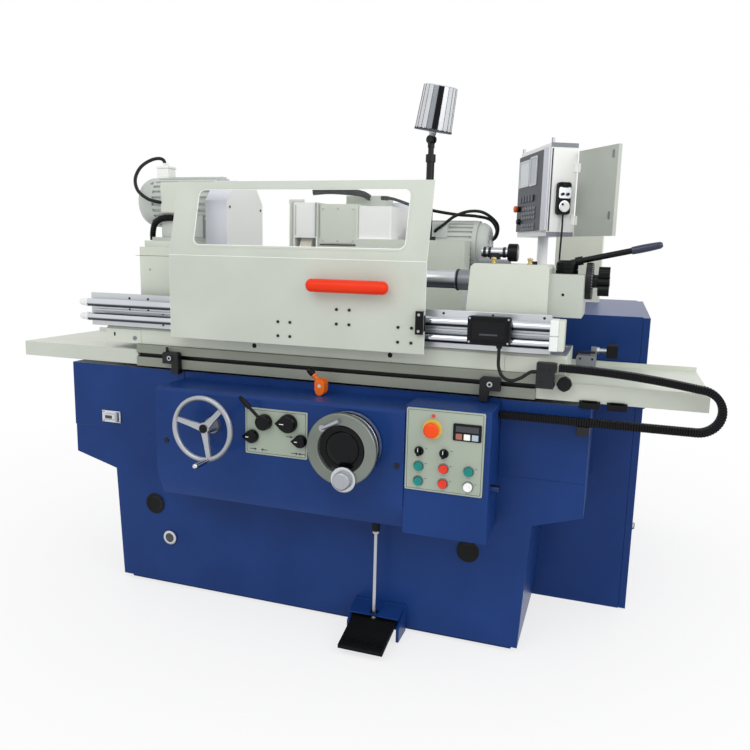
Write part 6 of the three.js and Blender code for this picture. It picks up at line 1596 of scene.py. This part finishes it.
def makeLamp(look):
    skin("lamp_arm", "blackOxide", "lamp_arm", 0.001)
    shade = Form("lamp_shade", "lamp_head", ("lamp_head",), there=lampFrame(look))
    base, length = look["base"], look["length"]
    core = [(base + 0.004, 0), (base + 0.004, look["low"] - 0.003),
        (base + length - 0.006, look["top"] - 0.003), (base + length - 0.012, 0.03),
        (base + length - 0.012, 0)]
    shade.add(turned("z", (0, 0, 0), core, 60), "whiteAbs")
    seam, face = [(0, 0), (0.04, look["proud"]), (0.085, 0)], [(0.085, 0), (0.55, 0.0007), (1, 0)]
    for i in range(look["facets"]):
        # painted reflection: the facet turned toward the camera is black and the one beside it grey, standing
        # in for dark surroundings mirrored in the polished shade
        plain = "blackPhenolic" if i == look["black"] else "castSteel" if i == look["grey"] else "shadeSilver"
        for line, finish in ((seam, "darkPanel"), (face, plain)):
            shade.add(facetStrip(look, i, line), finish, False)
    # a scalloped rim under the facets
    rim = lobed((0, 0), look["low"] + 0.0012, [(look["facets"], 0.0018, 0)], look["facets"] * 6)
    shade.add(prism("z", rim, (base, base + 0.0075), 0.001), "darkPanel")
    shade.add(ringOf("z", (0, 0, base + length - 0.003), look["top"] - 0.0012, 0.0026, 60, 10), "shadeSilver")
    shade.add(lathed("z", (0, 0, 0), [(0.012, 0), (0.012, 0.012), (0.024, 0.014), (base + 0.001, 0.014),
        (base + 0.001, 0)], sides=32), "satinAluminium")
    shade.add(block((-0.0048, -0.011, -0.011), (0.0048, 0.011, 0.014), 0.002), "blackOxide")
    shade.done()


makeLamp(lampLook)
print("lamp made")


# Console on its post, its rear door and the hand pendant. Places are in the console's own frame.

consoleLook = {
    "half": 0.175, "deep": 0.053, "low": 1.318, "high": 1.664, "face": -0.059,
    "panel": ((-0.17, 0.118), (1.34, 1.646)),
    "screens": [((-0.156, -0.034), (1.52, 1.626)), ((-0.027, 0.054), (1.518, 1.632))],
    "keysAt": {"rows": [1.43, 1.412, 1.394, 1.364, 1.348],
        "columns": [-0.095, -0.075, -0.055, -0.033, -0.013, 0.007, 0.029, 0.049]},
    "soft": (1.47, [-0.12, -0.085, -0.05, -0.015, 0.02]), "stop": (-0.134, 1.433), "wheel": (-0.13, 1.381),
}


def consoleFrame():
    x, y = consolePlace["centre"]
    return Matrix.Translation((x, y, 0)) @ Matrix.Rotation(math.radians(consolePlace["turn"]), 4, "Z")


def makeConsole(look):
    there = consoleFrame()
    half, deep, low, high, face = (look[k] for k in ("half", "deep", "low", "high", "face"))
    skin("console_box", "whiteAbs", "console", 0.002)
    skin("console_post", "creamEnamel", "machine", 0.0015)
    trim = Form("console_trim", "console", there=there)
    trim.add(block((half - 0.002, -deep - 0.0004, high - 0.016),
        (half + 0.0012, deep + 0.0004, high + 0.0004), 0.0006), "keyGrey")
    trim.add(block((half - 0.002, -deep - 0.0004, low - 0.0004), (half + 0.0012, deep + 0.0004, low + 0.016),
        0.0006), "keyGrey")
    trim.add(block((half - 0.004, -deep + 0.004, low + 0.018), (half + 0.0008, -deep + 0.01, high - 0.02),
        0.0006), "darkPanel")
    (x0, x1), (z0, z1) = look["panel"]
    trim.add(prism("y", roundedBox((x0, x1), (z0, z1), 0.004), (face - 0.0022, face + 0.002), 0.0006),
        "darkPanel")
    trim.add(prism("y", roundedBox((x1 + 0.003, half - 0.001), (z0 - 0.002, z1 + 0.004), 0.003),
        (face - 0.003, face + 0.004), 0.001), "lilacEnamel")
    for i, ((a, b), (c, d)) in enumerate(look["screens"]):
        outer, inner = roundedBox((a, b), (c, d), 0.004), roundedBox(
            (a + 0.007, b - 0.007), (c + 0.006, d - 0.006), 0.002)
        trim.add(ringFrame(outer, inner, (face - 0.0052, face - 0.002), 0.0006), "lilacEnamel")
        trim.add(prism("y", inner, (face - 0.0034, face - 0.002), 0), "screenGlow" if i else "paleScreen")
    z, columns = look["soft"]
    for x in columns:
        trim.add(block((x - 0.013, face - 0.0075, z - 0.013), (x + 0.013, face - 0.002, z + 0.013), 0.002,
            3), "navyKey")
    x, z = look["stop"]
    trim.add(rod("y", (x, face, z), (-0.012, -0.002), 0.012, 0.001, 32), "blackNylon")
    trim.add(lathed("y", (x, face, z), [(-0.028, 0), (-0.028, 0.011), (-0.023, 0.014), (-0.017, 0.0136),
        (-0.012, 0.01), (-0.012, 0)], 0.002, 3), "leverOrange")
    x, z = look["wheel"]
    trim.add(lathed("y", (x, face, z), [(-0.015, 0), (-0.015, 0.0105), (-0.004, 0.0125), (-0.002, 0.014),
        (-0.002, 0)], 0.0015, 3), "blackPhenolic")
    for x in (half - 0.008, -half + 0.008):
        trim.add(rod("z", (x, -deep + 0.008, high), (0, 0.0195), 0.0062, 0.0016, 24), "groundSteel")
    trim.done()
    rows, columns = look["keysAt"]["rows"], look["keysAt"]["columns"]
    facing = there.to_3x3() @ Vector((0, -1, 0))
    places = [there @ Vector((x, face - 0.0034, z)) for z in rows for x in columns]
    key = block((-0.0072, -0.0062, -0.0016), (0.0072, 0.0062, 0.0016), 0.001)
    copies("console_keys", key, places, [facing] * len(places), "console", "keyGrey")
    makePendant(there, half, pendantLook)
    makeConsoleDoor(there, doorLook)


pendantLook = {
    "across": (-0.024, 0.028), "rise": (1.399, 1.519), "thick": 0.02,
    "plate": ((-0.022, 0.026), (1.459, 1.5)), "switches": [(-0.008, 1.474), (0.012, 1.474)],
    "wheel": (0.002, 1.429), "knob": (-0.008, 1.436),
}


def makePendant(there, half, look):
    side = half + 0.0003
    pendant = Form("hand_pendant", "console", ("pendant",), "blackNylon", there)
    outline = roundedBox(look["across"], look["rise"], 0.01)
    pendant.add(prism("x", outline, (side, side + look["thick"]), 0.003, 3))
    pendant.add(prism("x", roundedBox(*look["plate"], 0.007), (side + 0.018, side + 0.026), 0.002, 3),
        "satinAluminium")
    pendant.add(block((side + 0.004, -0.012, 1.4975), (side + 0.028, 0.016, 1.5185), 0.003))
    for y, z in look["switches"]:
        pendant.add(rod("x", (side, y, z), (0.025, 0.0345), 0.0058, 0.001, 24), "blackPhenolic")
    y, z = look["wheel"]
    pendant.add(rod("x", (side, y, z), (0.018, 0.028), 0.0215, 0.0014, 56), "hardChrome")
    pendant.add(rod("x", (side, y, z), (0.0275, 0.032), 0.018, 0.0012, 56), "whiteAbs")
    y, z = look["knob"]
    pendant.add(rod("x", (side, y, z), (0.0315, 0.0368), 0.004, 0.001, 20), "blackPhenolic")
    pendant.done()


doorLook = {"along": (0.146, -0.181, 0), "hinge": (0.179, 0.061, 0), "reach": 0.205, "latchZ": (1.604, 1.391)}


def makeConsoleDoor(there, look):
    skin("console_door", "shadeEnamel", "console_door", 0.001)
    along = Vector(look["along"]).normalized()
    outward = Vector((along.y, -along.x, 0))
    hinge = there @ Vector(look["hinge"])
    latches = Form("console_latches", "console_door")
    for z in look["latchZ"]:
        spot = hinge + along * look["reach"] + Vector((0, 0, z))
        place = Matrix.Translation(spot) @ Matrix((along, outward, Vector((0, 0, 1)))).transposed().to_4x4()
        latches.add(moved(prism("y", roundedBox((-0.005, 0.005), (-0.014, 0.014), 0.0045), (-0.012, 0.01),
            0.001), place), "castSteel")
    latches.done()


makeConsole(consoleLook)
print("console made")


# Cable chain: fine links along the lower run, the bend and the upper run

chainLook = {
    "y": -0.286, "lowZ": 0.778, "topZ": 0.929, "sag": 0.032, "fixed": 0.642, "bend": 1.178, "bracket": 0.8,
    "pitch": 0.007, "width": 0.03, "height": 0.024,
}


def chainRuns(look):
    # The bend's radius, and the lengths of the lower run, the bend and the upper run
    radius = (look["topZ"] - look["sag"] - look["lowZ"]) / 2
    return radius, look["bend"] - look["fixed"], math.pi * radius, look["bend"] - look["bracket"]


def chainPlace(along, look):
    # Point and direction at a length along the chain
    radius, low, arc, high = chainRuns(look)
    if along < low:
        return Vector((look["fixed"] + along, look["y"], look["lowZ"])), Vector((1, 0, 0))
    if along < low + arc:
        angle = (along - low) / radius - math.pi / 2
        spot = Vector((look["bend"] + radius * math.cos(angle), look["y"],
            look["lowZ"] + radius + radius * math.sin(angle)))
        return spot, Vector((-math.sin(angle), 0, math.cos(angle)))
    left = (low + arc + high - along) / high
    spot = Vector((look["bracket"] + high * left, look["y"], look["topZ"] - look["sag"] * left ** 2))
    return spot, Vector((-high, 0, 2 * look["sag"] * left)).normalized()


def makeChain(look):
    radius, low, arc, high = chainRuns(look)
    y, half = look["y"], look["pitch"] / 2
    bend, lowZ, topZ = look["bend"], look["lowZ"], look["topZ"]
    runs = {
        # from and to along the chain, and the places where it rides with the machine and the table
        "lower": (0.004, low, (look["fixed"], y, lowZ), (2 * bend - look["fixed"], y, lowZ)),
        "bend": (low, low + arc, (bend, y - 10, lowZ + radius), (bend, y + 10, lowZ + radius)),
        "upper": (low + arc, low + arc + high - 0.004, (2 * bend - look["bracket"], y, topZ),
                  (look["bracket"], y, topZ)),
    }
    for name, (start, end, still, moving) in runs.items():
        body = ("machine", "table", still, moving)
        count = round((end - start) / look["pitch"])
        spots = [chainPlace(start + (end - start) * (i + 0.5) / count, look) for i in range(count)]
        places, facing = [s for s, _ in spots], [d for _, d in spots]
        w, h = look["width"] / 2, look["height"] / 2 - 0.0012
        link = block((-h + 0.0004, -w, -half * 0.8), (h - 0.0004, w, half * 0.8), 0.0009, 1)
        made = copies("chain_" + name, link, places, facing, body, "blackNylon")
        core = block((-h + 0.0015, -w + 0.0015, -half * 1.12), (h - 0.0015, w - 0.0015, half * 1.12), 0, 1)
        copies("chain_core_" + name, core, places, facing, body, "ribbedRubber")
        if name == "lower":
            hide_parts("cable_chain")


makeChain(chainLook)
print("chain made")


# Covers and louvres of the back and the cabinet's door

coverLook = {
    # panels as (across, rise); the bed's louvres as (middle, first height, count, width)
    "bed": {"y": 0.9995, "panels": [((-0.24, 0.38), (0.12, 0.46))], "louvres": (0.07, 0.52, 9, 0.2)},
    "door": {"x": 1.0572, "louvres": [(0.69, 0.16), (0.69, 0.8)], "count": 7, "width": 0.3},
    "back": ((-0.15, 0.24), (0.035, 0.15)), "pitch": 0.024, "slant": -0.34, "tilt": 0.94,
}


def makeCovers(look):
    bed = look["bed"]
    covers = Form("bed_covers", "machine")
    y = bed["y"]
    spots = []
    for across, rise in bed["panels"]:
        covers.add(prism("y", roundedBox(across, rise, 0.012), (y, y + 0.0035), 0.0012), "blueEnamel")
        spots += [(u, y + 0.004, v) for u in (across[0] + 0.016, sum(across) / 2, across[1] - 0.016)
            for v in (rise[0] + 0.016, rise[1] - 0.016)]
    covers.done()
    screws("bed_cover_screws", spots, "machine", "blackOxide", 0.006, 0.003, facing=(0, 1, 0))
    middle, first, count, width = bed["louvres"]
    places = [(middle, y + 0.001, first + look["pitch"] * i) for i in range(count)]
    slats("bed_louvres", places, [(0, look["tilt"], look["slant"])] * count, (width, 0.013, 0.005),
        "machine", "blueEnamel")
    door = look["door"]
    for i, (across, first) in enumerate(door["louvres"]):
        places = [(door["x"] + 0.001, across, first + look["pitch"] * j) for j in range(door["count"])]
        slats("door_louvres_" + str(i + 1), places, [(look["tilt"], 0, look["slant"])] * door["count"],
            (0.013, door["width"], 0.005), "cabinet_door", "blueEnamel")
    low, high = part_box("wheelhead_body")
    back = Form("wheelhead_back", "wheelhead")
    across, rise = look["back"]
    rise = [low[2] + v for v in rise]
    back.add(prism("y", roundedBox(across, rise, 0.01), (high[1] - 0.0005, high[1] + 0.003), 0.001),
        "shadeEnamel")
    back.done()
    spots = [(u, high[1] + 0.0036, v) for u, v in corners(across, rise, 0.014)]
    screws("wheelhead_back_screws", spots, "wheelhead", "blackOxide", 0.005, 0.0028, facing=(0, 1, 0))


makeCovers(coverLook)
print("covers made")


# Floor, lights and the white room around them

# The floor fades to the plain background between near and far; room is the light that the walls give back
stageLook = {"floor": "#fbfbfb", "reach": 30, "near": 1.0, "far": 3.2, "least": 0.72, "room": 0.78}
lampsLook = {
    "key": {"place": (-0.5, -3.7, 4.0), "target": (0.1, 0, 0.8), "size": (3.2, 2.4), "power": 49},
    "fill": {"place": (3.2, -1.6, 2.6), "target": (0.3, 0.1, 0.9), "size": (2.4, 2.4), "power": 36},
}


def makeStage(look):
    # A matt pale floor that keeps the machine's shadow and turns into the white background away from it
    mesh = bpy.data.meshes.new("floor")
    reach = look["reach"]
    mesh.from_pydata([(-reach, -reach, 0), (reach, -reach, 0), (reach, reach, 0), (-reach, reach, 0)], [],
        [(0, 1, 2, 3)])
    floor = placed("floor", mesh)
    material, tree, shader = newMaterial("paleFloor")
    shader.inputs["Base Color"].default_value = linear(look["floor"])
    shader.inputs["Roughness"].default_value = 0.9
    coords = node(tree, "ShaderNodeTexCoord")
    away = node(tree, "ShaderNodeVectorMath", {"operation": "LENGTH"}, links={0: coords.outputs["Object"]})
    fade = node(tree, "ShaderNodeMapRange",
        values={"From Min": look["near"], "From Max": look["far"], "To Min": look["least"]},
        links={"Value": away.outputs["Value"]})
    share = node(tree, "ShaderNodeMath", {"operation": "MULTIPLY"}, links={0: fade, 1: seenRays(tree)})
    white = node(tree, "ShaderNodeEmission")
    mixed = node(tree, "ShaderNodeMixShader", links={"Fac": share, 1: shader, 2: white})
    leave = next(n for n in tree.nodes if n.bl_idname == "ShaderNodeOutputMaterial")
    tree.links.new(mixed.outputs[0], leave.inputs["Surface"])
    mesh.materials.append(material)


def seenRays(tree):
    # 1 for rays from the camera, off a gloss or through a pane
    rays = node(tree, "ShaderNodeLightPath")
    seen = node(tree, "ShaderNodeMath", {"operation": "MAXIMUM"},
        links={0: rays.outputs["Is Camera Ray"], 1: rays.outputs["Is Glossy Ray"]})
    seen = node(tree, "ShaderNodeMath", {"operation": "MAXIMUM"},
        links={0: seen, 1: rays.outputs["Is Transmission Ray"]})
    return seen


def makeWorld(look):
    world = bpy.data.worlds.new("room")
    scene.world = world
    world.use_nodes = True
    tree = world.node_tree
    back = tree.nodes["Background"]
    level = node(tree, "ShaderNodeMapRange", values={"To Min": look["room"], "To Max": 1.0},
        links={"Value": seenRays(tree)})
    back.inputs["Color"].default_value = (1, 1, 1, 1)
    tree.links.new(level.outputs["Result"], back.inputs["Strength"])


def areaLamp(name, place, target, size, power):
    data = bpy.data.lights.new(name, "AREA")
    data.shape = "RECTANGLE"
    data.size, data.size_y = size
    data.energy = power
    lamp = placed(name, data)
    lamp.location = place
    lamp.rotation_euler = (Vector(target) - Vector(place)).to_track_quat("-Z", "Y").to_euler()


makeStage(stageLook)
makeWorld(stageLook)
for name, look in lampsLook.items():
    areaLamp(name, **look)
print("stage made")
